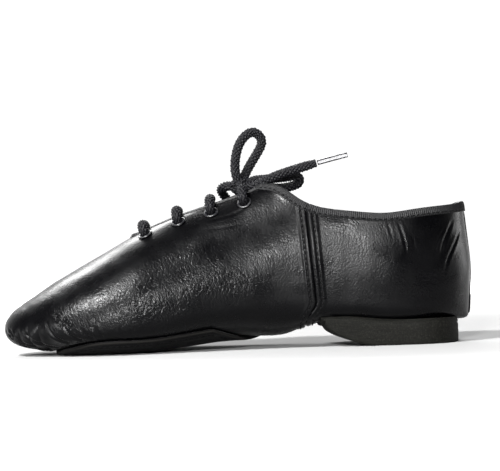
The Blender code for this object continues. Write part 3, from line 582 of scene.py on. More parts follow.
def leather(name, colour, roughness, wrinkle_height):
    """Nappa: a fine pebble grain on Object coordinates, and on the cut's own map two nets of long
    cells whose edges are the stretch wrinkles that run up the side. Gloss varies where the
    finish has rubbed thin."""
    made, tree, shader = finish_of(name, colour, roughness, Specular_IOR_Level=0.11)
    place = node(tree, "TexCoord").outputs["Object"]
    cut = node(tree, "UVMap", {"uv_map": "cut"}).outputs["UV"]
    pull = node(tree, "TexNoise", {"noise_dimensions": "2D"}, Vector=cut, Scale=0.35, Detail=2.0)
    bent = node(
        tree, "VectorMath", {"operation": "MULTIPLY_ADD"},
        in0=pull.outputs["Color"], in1=(WRINKLE_BEND, WRINKLE_BEND, 0.0), in2=cut,
    )
    nets = []
    for turn, long, wide, soft in WRINKLE_NETS:
        lean = node(
            tree, "Mapping", {"vector_type": "TEXTURE"}, Vector=bent.outputs["Vector"],
            Rotation=(0, 0, math.radians(turn)), Scale=(long, wide, 1),
        )
        cells = node(
            tree, "TexVoronoi", {"feature": "DISTANCE_TO_EDGE", "voronoi_dimensions": "2D"},
            Vector=lean.outputs["Vector"], Scale=1.0,
        )
        nets.append(ranged(tree, cells.outputs["Distance"], 0.0, soft, kind="SMOOTHSTEP"))
    wrinkles = joined(tree, "MULTIPLY", joined(tree, "ADD", *nets), number_on(tree, "wrinkle"))
    pebbles = node(
        tree, "TexVoronoi", {"feature": "SMOOTH_F1"}, Vector=place, Scale=1250.0, Smoothness=0.4
    )
    low = bump(tree, 1.0, wrinkle_height, wrinkles)
    middle = bump(tree, 0.6, 0.00007, pebbles.outputs["Distance"], low, invert=True)
    fine = bump(tree, 0.4, 0.00003, noise(tree, place, 2600.0, 2.0, 0.6), middle)
    rubbed = noise(tree, place, 70.0, 4.0, 0.6)
    gloss = ranged(tree, rubbed, 0.3, 0.7, roughness - 0.07, roughness + 0.10)
    feed(tree, shader, Normal=fine, Roughness=gloss)
    return made


def put_number(mesh, first, values, name):
    """A number on each point, for the material to read."""
    layer = mesh.attributes.new(name, "FLOAT", "POINT")
    layer.data.foreach_set("value", np.ravel(values)[first].astype(np.float32))


SIDE_GIRTH = 0.070
FLANK_START = 0.085
FLANK_END = 0.200


def wrinkle_weight(along, around, side):
    """How much the leather wrinkles: most along the flank of the vamp, little on the taut crest,
    the toe and the stiffened heel."""
    height = np.sin(np.clip(around / SIDE_GIRTH, 0, 1) * math.pi)
    flank = smooth_step((along - FLANK_START) / 0.04) * smooth_step((FLANK_END - along) / 0.03)
    uneven = 0.75 + 0.35 * wander(along, around, 0.030, 11 + side)
    return np.clip((0.22 + 0.95 * flank * height) * uneven, 0, 1.2)


CREASE_FREE_EDGE = 0.003
SEAM_ZONE = 0.0062
ROW_GAP = 0.0002


def leather_panel(name, along, columns):
    """A leather panel, both sides of the shoe at once, on a grid of rows along the shoe and
    columns from the underside's opening to the top edge. Its edges turn in by the wall."""
    share = np.linspace(0, 1, columns)[None, :]
    low = np.linspace(0, 1, columns // 3 + 1)[None, :]
    points, maps, weights, faces = [], [], [], []
    for side in (1, -1):
        start, end = under_edge(along)[:, None], top_edge(along, side)[:, None]
        around = end * share
        turn = around[:, columns // 3 : columns // 3 + 1]
        around[:, : columns // 3 + 1] = start + (turn - start) * low
        ground = last_surface(along, around, side)
        relief = leather_relief(ground, along, around, side)
        edge = smooth_step((end - around) / CREASE_FREE_EDGE)
        seam = seam_relief(along)[:, None]
        relief = np.where(along[:, None] < THROAT_END, seam + (relief - seam) * edge, relief)
        out = normals(along, around, side)
        top = ground + out * relief[..., None]
        shut = (end >= section(along, side)[2][:, -1:] - 1e-9)[..., None]
        rim = np.where(shut, top[:, -1:], (ground + out * (seam - LEATHER_WALL)[..., None])[:, -1:])
        open_under = (start > 1e-9)[..., None]
        hem = (ground + out * (seam - LEATHER_WALL)[..., None])[:, :1]
        hem = np.where(open_under, hem, top[:, :1])
        whole = np.concatenate([hem, top, rim], axis=1)
        count = whole.shape[0] * whole.shape[1]
        faces.append(quads(*whole.shape[:2], first=len(points) * count, flip=side > 0))
        points.append(whole)
        spread = np.concatenate([around[:, :1], around, around[:, -1:]], axis=1)
        maps.append(np.stack([np.broadcast_to(along[:, None], spread.shape), spread * side]))
        weights.append(wrinkle_weight(along[:, None], spread, side))
    mesh, first = mesh_of(name, np.array(points), np.concatenate(faces))
    u, v = np.concatenate([m.reshape(2, -1) for m in maps], axis=1) * 1000
    put_map(mesh, first, u, v)
    put_number(mesh, first, np.array(weights), "wrinkle")
    return mesh


BLACK_NAPPA = leather("black nappa", (0.0005, 0.0005, 0.0007), 0.27, WRINKLE_HEIGHT)
seam_rows = SEAM_PLACE + np.linspace(0, SEAM_ZONE, 26)
vamp_rows = SEAM_PLACE + (SHOE_LENGTH - SEAM_PLACE) * np.sin(np.linspace(0, math.pi / 2, 345))
vamp_rows = np.unique(np.concatenate([seam_rows, vamp_rows[vamp_rows > seam_rows[-1] + ROW_GAP]]))
piece("vamp", leather_panel("vamp", vamp_rows, 126), BLACK_NAPPA, "black_leather", "upper")
quarter_rows = SEAM_PLACE * (1 - np.cos(np.linspace(0, math.pi / 2, 150)))
seam_rows = SEAM_PLACE - np.linspace(SEAM_ZONE, 0, 26)
quarter_rows = np.concatenate([quarter_rows[quarter_rows < seam_rows[0] - ROW_GAP], seam_rows])
piece(
    "quarters", leather_panel("quarters", quarter_rows, 120), BLACK_NAPPA, "black_leather", "upper"
)

# Lining: brushed grey cloth, glued to the inside of the leather before the panels are joined.
def cloth(name, colour, roughness, pitch, height, sheen):
    """Plain woven cloth: two crossed waves at the thread's pitch on Object coordinates, with a
    soft nap over them and colour that wanders a little."""
    made, tree, shader = finish_of(
        name, colour, roughness, Sheen_Weight=sheen, Sheen_Roughness=0.5, Specular_IOR_Level=0.2
    )
    place = node(tree, "TexCoord").outputs["Object"]
    threads = [
        node(
            tree, "TexWave", {"bands_direction": way},
            Vector=place, Scale=0.314 / pitch, Distortion=1.2, Detail=1.0,
        ).outputs["Fac"]
        for way in ("X", "DIAGONAL")
    ]
    weave = bump(tree, 0.7, height, joined(tree, "MAXIMUM", *threads))
    soft = bump(tree, 0.4, height, noise(tree, place, 2400.0, 3.0), weave)
    shade = blend(tree, noise(tree, place, 120.0, 3.0), colour, lighter(colour, 1.5))
    feed(tree, shader, Normal=soft, Base_Color=shade)
    return made


def lining_mesh():
    """The inner face of the wall, from the middle of the underside to the top edge."""
    along = SHOE_LENGTH * (1 - np.cos(np.linspace(0, math.pi, 150))) / 2
    share = np.linspace(0, 1, 46)[None, :]
    points, faces = [], []
    for side in (1, -1):
        around = top_edge(along, side)[:, None] * share
        depth = np.broadcast_to(seam_relief(along)[:, None] - LEATHER_WALL, around.shape)
        points.append(skin(along, around, side, depth))
        first = (len(points) - 1) * around.size
        faces.append(quads(*around.shape, first=first, flip=side < 0))
    return mesh_of("lining", np.array(points), np.concatenate(faces))[0]


GREY_CLOTH = cloth("grey lining cloth", (0.050, 0.048, 0.046), 0.92, 0.0006, 0.00008, 0.25)
piece("lining", lining_mesh(), GREY_CLOTH, "grey_lining", "upper")

# Thread: waxed black polyester, sewn in two rows beside each side seam, pulled into the leather at
# every hole.
THREAD_RADIUS = 0.00030
SEAM_STITCH = 0.0023
SEAM_FOOT = 0.0120
SEAM_STOP = 0.0012


def even_path(points, spacing):
    """The same path with evenly spaced points, and each new point's share of the old ones."""
    run = run_along(points)
    fine = np.linspace(0, run[-1], max(int(run[-1] / spacing), 2))
    return np.column_stack([np.interp(fine, run, points[:, axis]) for axis in range(3)]), fine, run


def along_path(values, fine, run):
    """Values given at a path's old points, at its new ones."""
    values = np.reshape(values, (len(run), -1))
    return np.column_stack([np.interp(fine, run, column) for column in values.T])


def unit(vectors):
    """Vectors divided by their lengths."""
    return vectors / np.maximum(np.linalg.norm(vectors, axis=-1, keepdims=True), 1e-12)


def closed(name, grids):
    """A closed mesh from grids of points that meet at their edges, faces turned outwards."""
    points, faces, first = [], [], 0
    for grid, wrap in grids:
        faces.append(quads(*grid.shape[:2], first=first, wrap=wrap))
        points.append(grid.reshape(-1, 3))
        first += len(points[-1])
    mesh, kept = mesh_of(name, np.concatenate(points), np.concatenate(faces))
    work = bmesh.new()
    work.from_mesh(mesh)
    bmesh.ops.recalc_face_normals(work, faces=work.faces)
    work.to_mesh(mesh)
    work.free()
    return mesh, kept


def stitch_grids(path, normal, pitch, fill=0.80, radius=THREAD_RADIUS):
    """Stitches along a path: each is a short thread, round across, whose middle stands up in an
    arch and whose two ends dive into the leather."""
    centre, fine, run = even_path(path, pitch)
    away = unit(along_path(normal, fine, run))
    ahead = unit(np.gradient(centre, axis=0))
    beside = np.cross(away, ahead)
    share = np.linspace(-1, 1, 8)
    turn = np.linspace(0, 2 * np.pi, 7)[:-1]
    width = radius * np.sqrt(1 - share**4)
    arch = radius * (0.9 - 1.5 * share**2)
    length = fill * pitch / 2 * share
    grid = (
        centre[:, None, None]
        + ahead[:, None, None] * length[None, None, :, None]
        + away[:, None, None] * (arch[None, None, :, None])
        + beside[:, None, None] * (width[None, :] * np.cos(turn)[:, None])[None, ..., None]
        + away[:, None, None] * (width[None, :] * np.sin(turn)[:, None])[None, ..., None]
    )
    return [(one, True) for one in grid]


def thread(name, colour):
    """Waxed thread: a fine twist of slanting waves on Object coordinates, half glossy."""
    made, tree, shader = finish_of(name, colour, 0.60, Specular_IOR_Level=0.10)
    place = node(tree, "TexCoord").outputs["Object"]
    twist = node(
        tree, "TexWave", {"bands_direction": "DIAGONAL"}, Vector=place, Scale=900.0, Distortion=0.6
    )
    dull = ranged(tree, noise(tree, place, 300.0, 2.0), low=0.50, high=0.75)
    feed(tree, shader, Normal=bump(tree, 0.6, 0.00006, twist.outputs["Fac"]), Roughness=dull)
    return made


def seam_stitches():
    """Rows of stitches at a set distance from the side seam, from beside the arch to the tape."""
    grids = []
    for side in (1, -1):
        for row in (SEAM_PLACE - SEAM_ROWS, SEAM_PLACE + SEAM_ROWS):
            along = np.array([row])
            around = np.linspace(SEAM_FOOT, top_edge(along, side)[0] - SEAM_STOP, 160)[None, :]
            lift = np.broadcast_to(seam_relief(along)[:, None], around.shape)
            path = skin(along, around, side, lift)[0]
            grids += stitch_grids(path, normals(along, around, side)[0], SEAM_STITCH)
    return closed("seam_stitches", grids)[0]


BLACK_THREAD = thread("black waxed thread", (0.0016, 0.0016, 0.0018))
piece("seam_stitches", seam_stitches(), BLACK_THREAD, "black_leather")

# Collar tape: a ribbed elastic tape folded over the top edge and stitched through, its ends
# lapped in a small lump at the back. Along the throat only a thin turned edge is left of it.
TAPE_WALL = 0.0019
THROAT_TAPE = 0.0011
TAPE_LAP = 0.0008
RIB_PITCH = 0.00092
RIB_HEIGHT = 0.00022
LUMP_REACH = 0.0026
LUMP_WIDE = 0.0004
LUMP_TALL = 0.0007
TURNED_OUT = 0.0004
TURNED_OUT_AT_END = 0.0009
END_REACH = 0.0050
TAPE_STITCH = 0.0024


def edge_frame(along, side):
    """Middle of the wall's top edge and its outward normal."""
    edge = top_edge(along, side)[:, None]
    out = normals(along, edge, side)[:, 0]
    relief = seam_relief(along)[:, None]
    return skin(along, edge, side)[:, 0] + out * (relief - LEATHER_WALL / 2), out


def tape_path():
    """The top edge all the way round, evenly spaced, with its outward and upward directions."""
    rows = THROAT_END * np.sin(np.linspace(0, math.pi / 2, 400)) ** 1.2
    inner, inner_out = edge_frame(rows[::-1], 1)
    outer, outer_out = edge_frame(rows[1:], -1)
    path = np.concatenate([inner, outer])
    centre, fine, run = even_path(path, RIB_PITCH / 4)
    out = unit(along_path(np.concatenate([inner_out, outer_out]), fine, run))
    along = along_path(np.concatenate([rows[::-1], rows[1:]]), fine, run)[:, 0]
    centre, fine, out, along = centre[:-1], fine[:-1], out[:-1], along[:-1]
    ahead = unit(np.roll(centre, -1, axis=0) - np.roll(centre, 1, axis=0))
    up = unit(np.cross(out, ahead))
    return centre, out, up, along, fine


def tape_mesh():
    """A folded profile carried round the edge: a superellipse arch over the leather, with its
    legs down both faces, and a raised rib at every pitch."""
    centre, out, up, along, fine = tape_path()
    narrow = smooth_step((along - TAPE_NARROWS) / CORNER_RADIUS)[:, None]
    tall = TAPE_HEIGHT + (THROAT_TAPE - TAPE_HEIGHT) * narrow
    lump = hill(along, LUMP_REACH)[:, None]
    rib = RIB_HEIGHT * np.cos(2 * np.pi * fine / RIB_PITCH)[:, None] * (1 - 0.8 * narrow)
    turn = np.linspace(0, math.pi, 21)[None, :]
    half = TAPE_WALL / 2 + rib + LUMP_WIDE * lump
    off = half * np.sign(np.cos(turn)) * np.abs(np.cos(turn)) ** 0.55
    lap = TAPE_LAP * (1 - 0.4 * narrow)
    level = -lap + (tall + lap + LUMP_TALL * lump) * np.sin(turn).clip(0) ** 0.5
    at_end = hill(along - THROAT_END, END_REACH)[:, None]
    proud = TURNED_OUT * narrow + TURNED_OUT_AT_END * at_end
    points = centre[:, None] + out[:, None] * (off + proud * np.sin(turn).clip(0))[..., None]
    points = points + up[:, None] * (FIT_GAP + level)[..., None]
    mesh, first = closed("collar_tape", [(points, True), (points[:, [-1, 0]], True)])
    u = np.concatenate([np.broadcast_to(fine[:, None], off.shape).ravel(), np.repeat(fine, 2)])
    v = np.concatenate([level.ravel(), level[:, [-1, 0]].ravel()])
    put_map(mesh, first, u * 1000, v * 1000)
    return mesh


def ribbed(name, colour):
    """Grosgrain: fine threads run over the ribs, so a second wave on the tape's own map stands
    across them, dull with a faint sheen."""
    made, tree, shader = finish_of(
        name, colour, 0.52, Sheen_Weight=0.02, Sheen_Roughness=0.4, Specular_IOR_Level=0.26
    )
    cut = node(tree, "UVMap", {"uv_map": "cut"}).outputs["UV"]
    place = node(tree, "TexCoord").outputs["Object"]
    rows = node(
        tree, "TexWave", {"bands_direction": "Y"}, Vector=cut, Scale=0.9, Distortion=0.4
    )
    low = bump(tree, 0.6, 0.00008, rows.outputs["Fac"])
    fuzz = bump(tree, 0.4, 0.00005, noise(tree, place, 4000.0, 2.0), low)
    shade = blend(tree, noise(tree, place, 200.0, 3.0), colour, lighter(colour, 1.8))
    feed(tree, shader, Normal=fuzz, Base_Color=shade)
    return made


def tape_stitches():
    """One row through both legs of the tape, just above its lower edge."""
    centre, out, up, along, _ = tape_path()
    wide = along < TAPE_NARROWS
    order = np.argsort(~wide, kind="stable")[: wide.sum()]
    path = centre + out * (TAPE_WALL / 2) + up * (FIT_GAP + 0.0001)
    return closed("tape_stitches", stitch_grids(path[order], out[order], TAPE_STITCH, 0.7))[0]


RIBBED_TAPE = ribbed("black ribbed tape", (0.0014, 0.0014, 0.0017))
piece("collar_tape", tape_mesh(), RIBBED_TAPE, "ribbed_tape", "collar_binding")
piece("tape_stitches", tape_stitches(), BLACK_THREAD, "ribbed_tape")

# Back strip: a narrow folded strip of the same leather over the seam up the back, in two lengths
# that overlap low down, and tucked in above the heel.
STRIP_HALF = 0.0013
STRIP_RISE = 0.0007
STRIP_OVERLAP = 0.0210
STRIP_SINK = 0.0002
STRIP_ROOT = 0.0004


def back_strip():
    """A low arch carried down the back's middle line, thicker below the overlap."""
    along = np.array([0.0])
    edge = top_edge(along, 1)[0]
    around = np.linspace(edge, 0.0002, 260)[None, :]
    path, out = skin(along, around, 1)[0], normals(along, around, 1)[0]
    path, fine, run = even_path(path, 0.0004)
    out = unit(along_path(out, fine, run))
    turn = np.linspace(-math.pi / 2, math.pi / 2, 13)[None, :]
    low = smooth_step((STRIP_OVERLAP - path[:, 2]) / 0.0004)[:, None]
    end = np.sqrt(np.clip(1 - (2 * fine / fine[-1] - 1) ** 24, 0, 1))[:, None]
    rise = (STRIP_RISE * (1 + 0.55 * low) * np.cos(turn) ** 0.6 * end) - STRIP_SINK
    wide = STRIP_HALF * (1 + 0.15 * low) * np.sin(turn) * np.maximum(end, 0.2)
    beside = np.array([0.0, 1.0, 0.0])
    top = path[:, None] + out[:, None] * rise[..., None] + beside * wide[..., None]
    low_face = path[:, None] - out[:, None] * STRIP_ROOT + beside * wide[..., None]
    rings = np.concatenate([top, low_face[:, ::-1]], axis=1).transpose(1, 0, 2)
    ends = [(np.stack([rings[:13, at], rings[:12:-1, at]]), False) for at in (0, -1)]
    mesh, first = closed("back_strip", [(rings, True)] + ends)
    at_ends = np.zeros(4 * turn.size)
    across = np.broadcast_to(0.3 * np.arange(len(rings))[:, None], rings.shape[:2])
    down = np.broadcast_to(1000 * fine, rings.shape[:2])
    put_map(mesh, first, np.append(across, at_ends), np.append(down, at_ends))
    put_number(mesh, first, np.full(across.size + at_ends.size, 0.3), "wrinkle")
    return mesh


piece("back_strip", back_strip(), BLACK_NAPPA, "black_leather")

# Tongue: one layer of the nappa, sewn in front of the throat and loose under the lace, its back
# edge cut round and left raw.
TONGUE_THICKNESS = 0.0013
TONGUE_WIDTH = 0.0360
TONGUE_ROOT = 0.1600
TONGUE_TIP = 0.0800
TONGUE_SAG = 0.0110
TONGUE_ROUND = 0.35
TONGUE_FOLDS = 0.00020
TONGUE_LINE = np.array([
    # share sag
    [0.000, 0.000],
    [0.200, 0.020],
    [0.500, 0.110],
    [0.740, 0.320],
    [0.875, 0.660],
    [1.000, 1.000],
])


def tongue_skin(along, off_top, lift):
    """Skin points by running length from the middle of the top, sunk by the tongue's sag."""
    sides = []
    for side in (1, -1):
        full = section(along, side)[2][:, -1:]
        sides.append(skin(along, full - np.maximum(side * off_top, 0), side, lift))
    points = np.where((off_top >= 0)[..., None], sides[0], sides[1])
    share = (TONGUE_ROOT - along) / (TONGUE_ROOT - TONGUE_TIP)
    points[..., 2] -= TONGUE_SAG * spline(TONGUE_LINE, 1, share)[:, None]
    return points


def sheet_grids(top, bottom):
    """The grids of a closed sheet: its two faces and the rim between their edges."""
    rims = []
    for face in (top, bottom):
        rims.append(np.concatenate([face[0], face[1:, -1], face[-1, -2::-1], face[-2:0:-1, 0]]))
    rim = np.stack(rims, axis=1)
    return [(top, False), (bottom, False), (rim, True)]


def tongue_mesh():
    """The tongue's grid: width in a half circle at the tip, soft folds where it is pressed."""
    share = np.sin(np.linspace(0, math.pi / 2, 110))
    along = TONGUE_ROOT - (TONGUE_ROOT - TONGUE_TIP) * share
    taper = np.clip((along - TONGUE_TIP) / (TONGUE_ROUND * TONGUE_WIDTH), 0, 1)
    half = TONGUE_WIDTH / 2 * np.sqrt(1 - (1 - taper) ** 2)
    off_top = half[:, None] * np.linspace(-1, 1, 45)[None, :]
    folds = TONGUE_FOLDS * wander(along[:, None], off_top, 0.011, 21)
    sunk = LEATHER_WALL + FIT_GAP + 0.0001
    top = tongue_skin(along, off_top, folds - sunk)
    bottom = tongue_skin(along, off_top, folds - sunk - TONGUE_THICKNESS)
    grids = sheet_grids(top, bottom)
    mesh, first = closed("tongue_leather", grids)
    points = np.concatenate([grid.reshape(-1, 3) for grid, _ in grids])
    put_map(mesh, first, points[:, 0] * 1000, points[:, 1] * 1000)
    put_number(mesh, first, np.full(len(points), 0.35), "wrinkle")
    return mesh


piece("tongue_leather", tongue_mesh(), BLACK_NAPPA, "black_leather", "tongue")

# Insole: a thin foam sheet faced with the lining's cloth, laid in over the turned-under leather.
INSOLE_THICKNESS = 0.0018
INSOLE_REACH = 0.925
INSOLE_WIDTH = 0.70
INSOLE_SOFTNESS = 0.00015


def skin_across(along, signed, lift=0.0):
    """Skin points by signed running length from the middle of the underside: plus is inner."""
    inner = skin(along, np.maximum(signed, 0), 1, lift)
    outer = skin(along, np.maximum(-signed, 0), -1, lift)
    return np.where((signed >= 0)[..., None], inner, outer)


def insole_mesh():
    """A sheet inside the underside, its width a share of the last's with round ends, and its
    upper face pressed down a little at the edges."""
    turn = np.linspace(0, math.pi, 90)
    along = SHOE_LENGTH * (0.5 - INSOLE_REACH / 2 * np.cos(turn))
    across = np.linspace(-1, 1, 33)[None, :]
    inner, outer = (
        INSOLE_WIDTH * section(along, side)[0].max(axis=1)[:, None] for side in (1, -1)
    )
    signed = across * np.where(across > 0, inner, outer) * np.sin(turn)[:, None] ** 0.5
    sunk = LEATHER_WALL + 2 * FIT_GAP
    edge = 0.35 * hill(1 - np.abs(across), 0.08)
    soft = INSOLE_SOFTNESS * wander(along[:, None], signed, 0.020, 31)
    bottom = skin_across(along, signed, np.full(signed.shape, -sunk))
    top = skin_across(along, signed, -sunk - INSOLE_THICKNESS * (1 - edge) - soft)
    return closed("insole_sheet", sheet_grids(top, bottom))[0]


piece("insole_sheet", insole_mesh(), GREY_CLOTH, "grey_lining", "insole")

# Forefoot patch: black suede with the nap outwards, cut to an oval and sewn through the gathered
# leather close to its edge, which shows paler where it was cut.
SOLE_THICKNESS = 0.0018
PATCH_START = 0.0860
PATCH_REAR = 0.1000
PATCH_FRONT = 0.1878
PATCH_SKEW = 0.0105
PATCH_CORNER = 0.0062
PATCH_STITCH_IN = 0.0021
PATCH_STITCH = 0.0026
PATCH_STITCH_SINK = 0.00042
PATCH_THREAD = 0.00026
PATCH_EDGE_DROP = 0.0005
PATCH_CHANNEL = 0.00030
PATCH_UNEVEN = 0.00008
PATCH_WIDTHS = np.array([
    # along  inner  outer
    [0.000, 0.298, 0.370],
    [0.080, 0.325, 0.412],
    [0.150, 0.338, 0.430],
    [0.300, 0.364, 0.452],
    [0.500, 0.422, 0.466],
    [0.700, 0.460, 0.442],
    [0.850, 0.408, 0.352],
    [0.930, 0.300, 0.254],
    [0.980, 0.165, 0.142],
    [1.000, 0.000, 0.000],
])
ROUNDED_PATCH = np.column_stack([round_ends(PATCH_WIDTHS[:, 0]), PATCH_WIDTHS[:, 1:]])


def patch_place(share, across):
    """Distance from the back and running length from the middle, by share of the patch's length
    and of its half width. Its rear edge runs slanting, with full corners."""
    rear = PATCH_REAR + PATCH_SKEW * across + PATCH_CORNER * across**4
    along = rear + (PATCH_FRONT - rear) * share
    angle = round_ends((along - PATCH_START) / (PATCH_FRONT - PATCH_START))
    inner, outer = (spline(ROUNDED_PATCH, column, angle).clip(0) for column in (1, 2))
    return along, across * np.where(across > 0, inner, outer) * BALL_WIDTH


def scattered_skin(along, signed, lift):
    """Skin points where each point has its own distance along the shoe."""
    lift = np.broadcast_to(lift, along.shape).reshape(-1, 1)
    points = skin_across(along.ravel(), signed.reshape(-1, 1), lift)
    return points.reshape(*along.shape, 3)


def patch_outline():
    """The patch's edge as a closed path in the plane of distance and running length."""
    turn = np.linspace(-1, 1, 120)
    side = np.sin(np.linspace(0, math.pi / 2, 160))
    rear = patch_place(np.zeros(120), turn)
    inner = patch_place(side, np.ones(160))
    outer = patch_place(side[::-1], -np.ones(160))
    return np.column_stack([np.concatenate(parts) for parts in zip(rear, inner[:2], outer)])


def patch_mesh():
    """The patch's two faces, the lower one thinned by a channel where the stitches pull it in and
    rounded at the edge, and flat where it stands on the floor."""
    share = np.sin(np.linspace(0, math.pi / 2, 130))[:, None]
    across = np.sin(np.linspace(-math.pi / 2, math.pi / 2, 97))[None, :]
    along, signed = patch_place(share, across)
    line = patch_outline()[::4]
    grid = np.stack([along, signed], axis=-1)
    inside = np.full(along.shape, np.inf)
    for start, end in zip(line, np.roll(line, -1, axis=0)):
        leg = end - start
        place = np.clip((grid - start) @ leg / max(leg @ leg, 1e-12), 0, 1)
        inside = np.minimum(inside, np.linalg.norm(grid - start - place[..., None] * leg, axis=-1))
    thick = SOLE_THICKNESS - PATCH_EDGE_DROP * hill(inside, 0.0006)
    thick = thick - PATCH_CHANNEL * hill(inside - PATCH_STITCH_IN, 0.00045)
    thick = thick + PATCH_UNEVEN * wander(along, signed, 0.012, 41)
    top = scattered_skin(along, signed, FIT_GAP)
    bottom = scattered_skin(along, signed, FIT_GAP + thick)
    bottom[..., 2] = bottom[..., 2].clip(0)
    grids = sheet_grids(top, bottom)
    mesh, first = closed("forefoot_patch", grids)
    rim = [np.zeros(along.size), hill(inside, 0.00035).ravel(), np.ones(grids[2][0].size // 3)]
    put_number(mesh, first, np.concatenate(rim), "rim")
    return mesh


def suede(name, colour, rim_colour):
    """Nap: short fibres as fine noise drawn out along the shoe, lighter where they have been
    brushed, dark where pressed, and a paler cut rim."""
    made, tree, shader = finish_of(
        name, colour, 0.95, Sheen_Weight=0.02, Sheen_Roughness=0.45, Specular_IOR_Level=0.04
    )
    place = node(tree, "TexCoord").outputs["Object"]
    drawn = node(tree, "Mapping", Vector=place, Scale=(0.45, 1.0, 1.0)).outputs["Vector"]
    fibre = noise(tree, drawn, 3200.0, 4.0, 0.7)
    brushed = noise(tree, place, 160.0, 5.0, 0.65)
    fleck = noise(tree, place, 1500.0, 3.0, 0.7)
    raised = ranged(tree, joined(tree, "MULTIPLY", fleck, brushed), 0.14, 0.42)
    shade = blend(tree, raised, colour, lighter(colour, 3.4))
    feed(
        tree, shader, Normal=bump(tree, 0.8, 0.00016, joined(tree, "ADD", fibre, brushed)),
        Base_Color=blend(tree, number_on(tree, "rim"), shade, rim_colour),
    )
    return made


def patch_stitches():
    """One row inside the patch's edge: the outline moved in along its own normal."""
    line = patch_outline()
    ahead = unit(np.roll(line, -3, axis=0) - np.roll(line, 3, axis=0))
    moved = line - PATCH_STITCH_IN * np.stack([-ahead[:, 1], ahead[:, 0]], axis=1)
    lift = FIT_GAP + SOLE_THICKNESS - PATCH_STITCH_SINK
    path = scattered_skin(moved[:, 0], moved[:, 1], lift)
    deeper = scattered_skin(moved[:, 0], moved[:, 1], lift - 0.001)
    out = unit(path - deeper)
    path[:, 2] = path[:, 2].clip(0.0006)
    return closed("patch_stitches", stitch_grids(path, out, PATCH_STITCH, 0.72, PATCH_THREAD))[0]


BLACK_SUEDE = suede("black suede", (0.0009, 0.0009, 0.0010), (0.008, 0.0076, 0.0070))
piece("forefoot_patch", patch_mesh(), BLACK_SUEDE, "black_suede", "forefoot_sole")
piece("patch_stitches", patch_stitches(), BLACK_THREAD, "black_suede")

# Heel: one moulding of dark olive-black rubber, glued under the leather, with a waffle tread, a
# curved breast and a thin flange that is sewn on across the waist.
HEEL_SQUARENESS = 2.4
BREAST_END = 0.0648
BREAST_CURVE = 1.5
FLANGE_THICKNESS = 0.0017
FLANGE_END = SEAM_PLACE - SEAM_BAND / 2 - 0.0008
TREAD_PITCH = 0.0028
TREAD_DEPTH = 0.0006
TREAD_RIDGE = 0.0007
TREAD_MARGIN = 0.0012
FLANGE_STITCH = FLANGE_END - 0.0030
FLANGE_STITCH_LENGTH = 0.0030
FLANGE_THREAD = 0.00035
FLANGE_SLOT = 0.0005
LIP_RISE = 0.0009
WAIST_RISE = 0.0022
WAIST_RISE_START = 0.030
WAIST_RISE_RUN = 0.028
EDGE_SHRINK = 0.0004
# The heel's wall: share of its height from the top, and how far it stands out, in millimetres.
WALL_SWELL = np.array([
    [0.020, -0.10],
    [0.060, -0.04],
    [0.100, -0.22],
    [0.160, 0.00],
    [0.400, 0.04],
    [0.700, 0.04],
    [0.900, 0.00],
    [0.960, -0.12],
    [0.985, -0.26],
])


def under_half_width(along, half):
    """Running length on the underside at which each side of the skin is half as wide as asked."""
    found = []
    for side in (1, -1):
        y, _, length = section(along, side)
        lower = slice(0, SECTION_STEPS // 2)
        found.append([np.interp(half[i], y[i, lower], length[i, lower]) for i in range(len(along))])
    return np.array(found)[..., None]


def heel_half(along):
    """Half width of the heel, a superellipse at its back and straight in front."""
    round_back = np.clip((along - HEEL_BACK) / (HEEL_WIDTH / 2), 0, 1)
    return HEEL_WIDTH / 2 * (1 - (1 - round_back) ** HEEL_SQUARENESS) ** (1 / HEEL_SQUARENESS)


def pits(along, across):
    """Depth of the waffle: square pits between ridges, with sloping walls."""
    half = TREAD_PITCH / 2 - TREAD_RIDGE / 2
    soft = 0.0003
    depth = np.ones(np.broadcast(along, across).shape)
    for run in (along, across):
        off = np.abs(np.mod(run, TREAD_PITCH) - TREAD_PITCH / 2)
        depth = depth * smooth_step((half - off) / soft + 0.5)
    return TREAD_DEPTH * depth


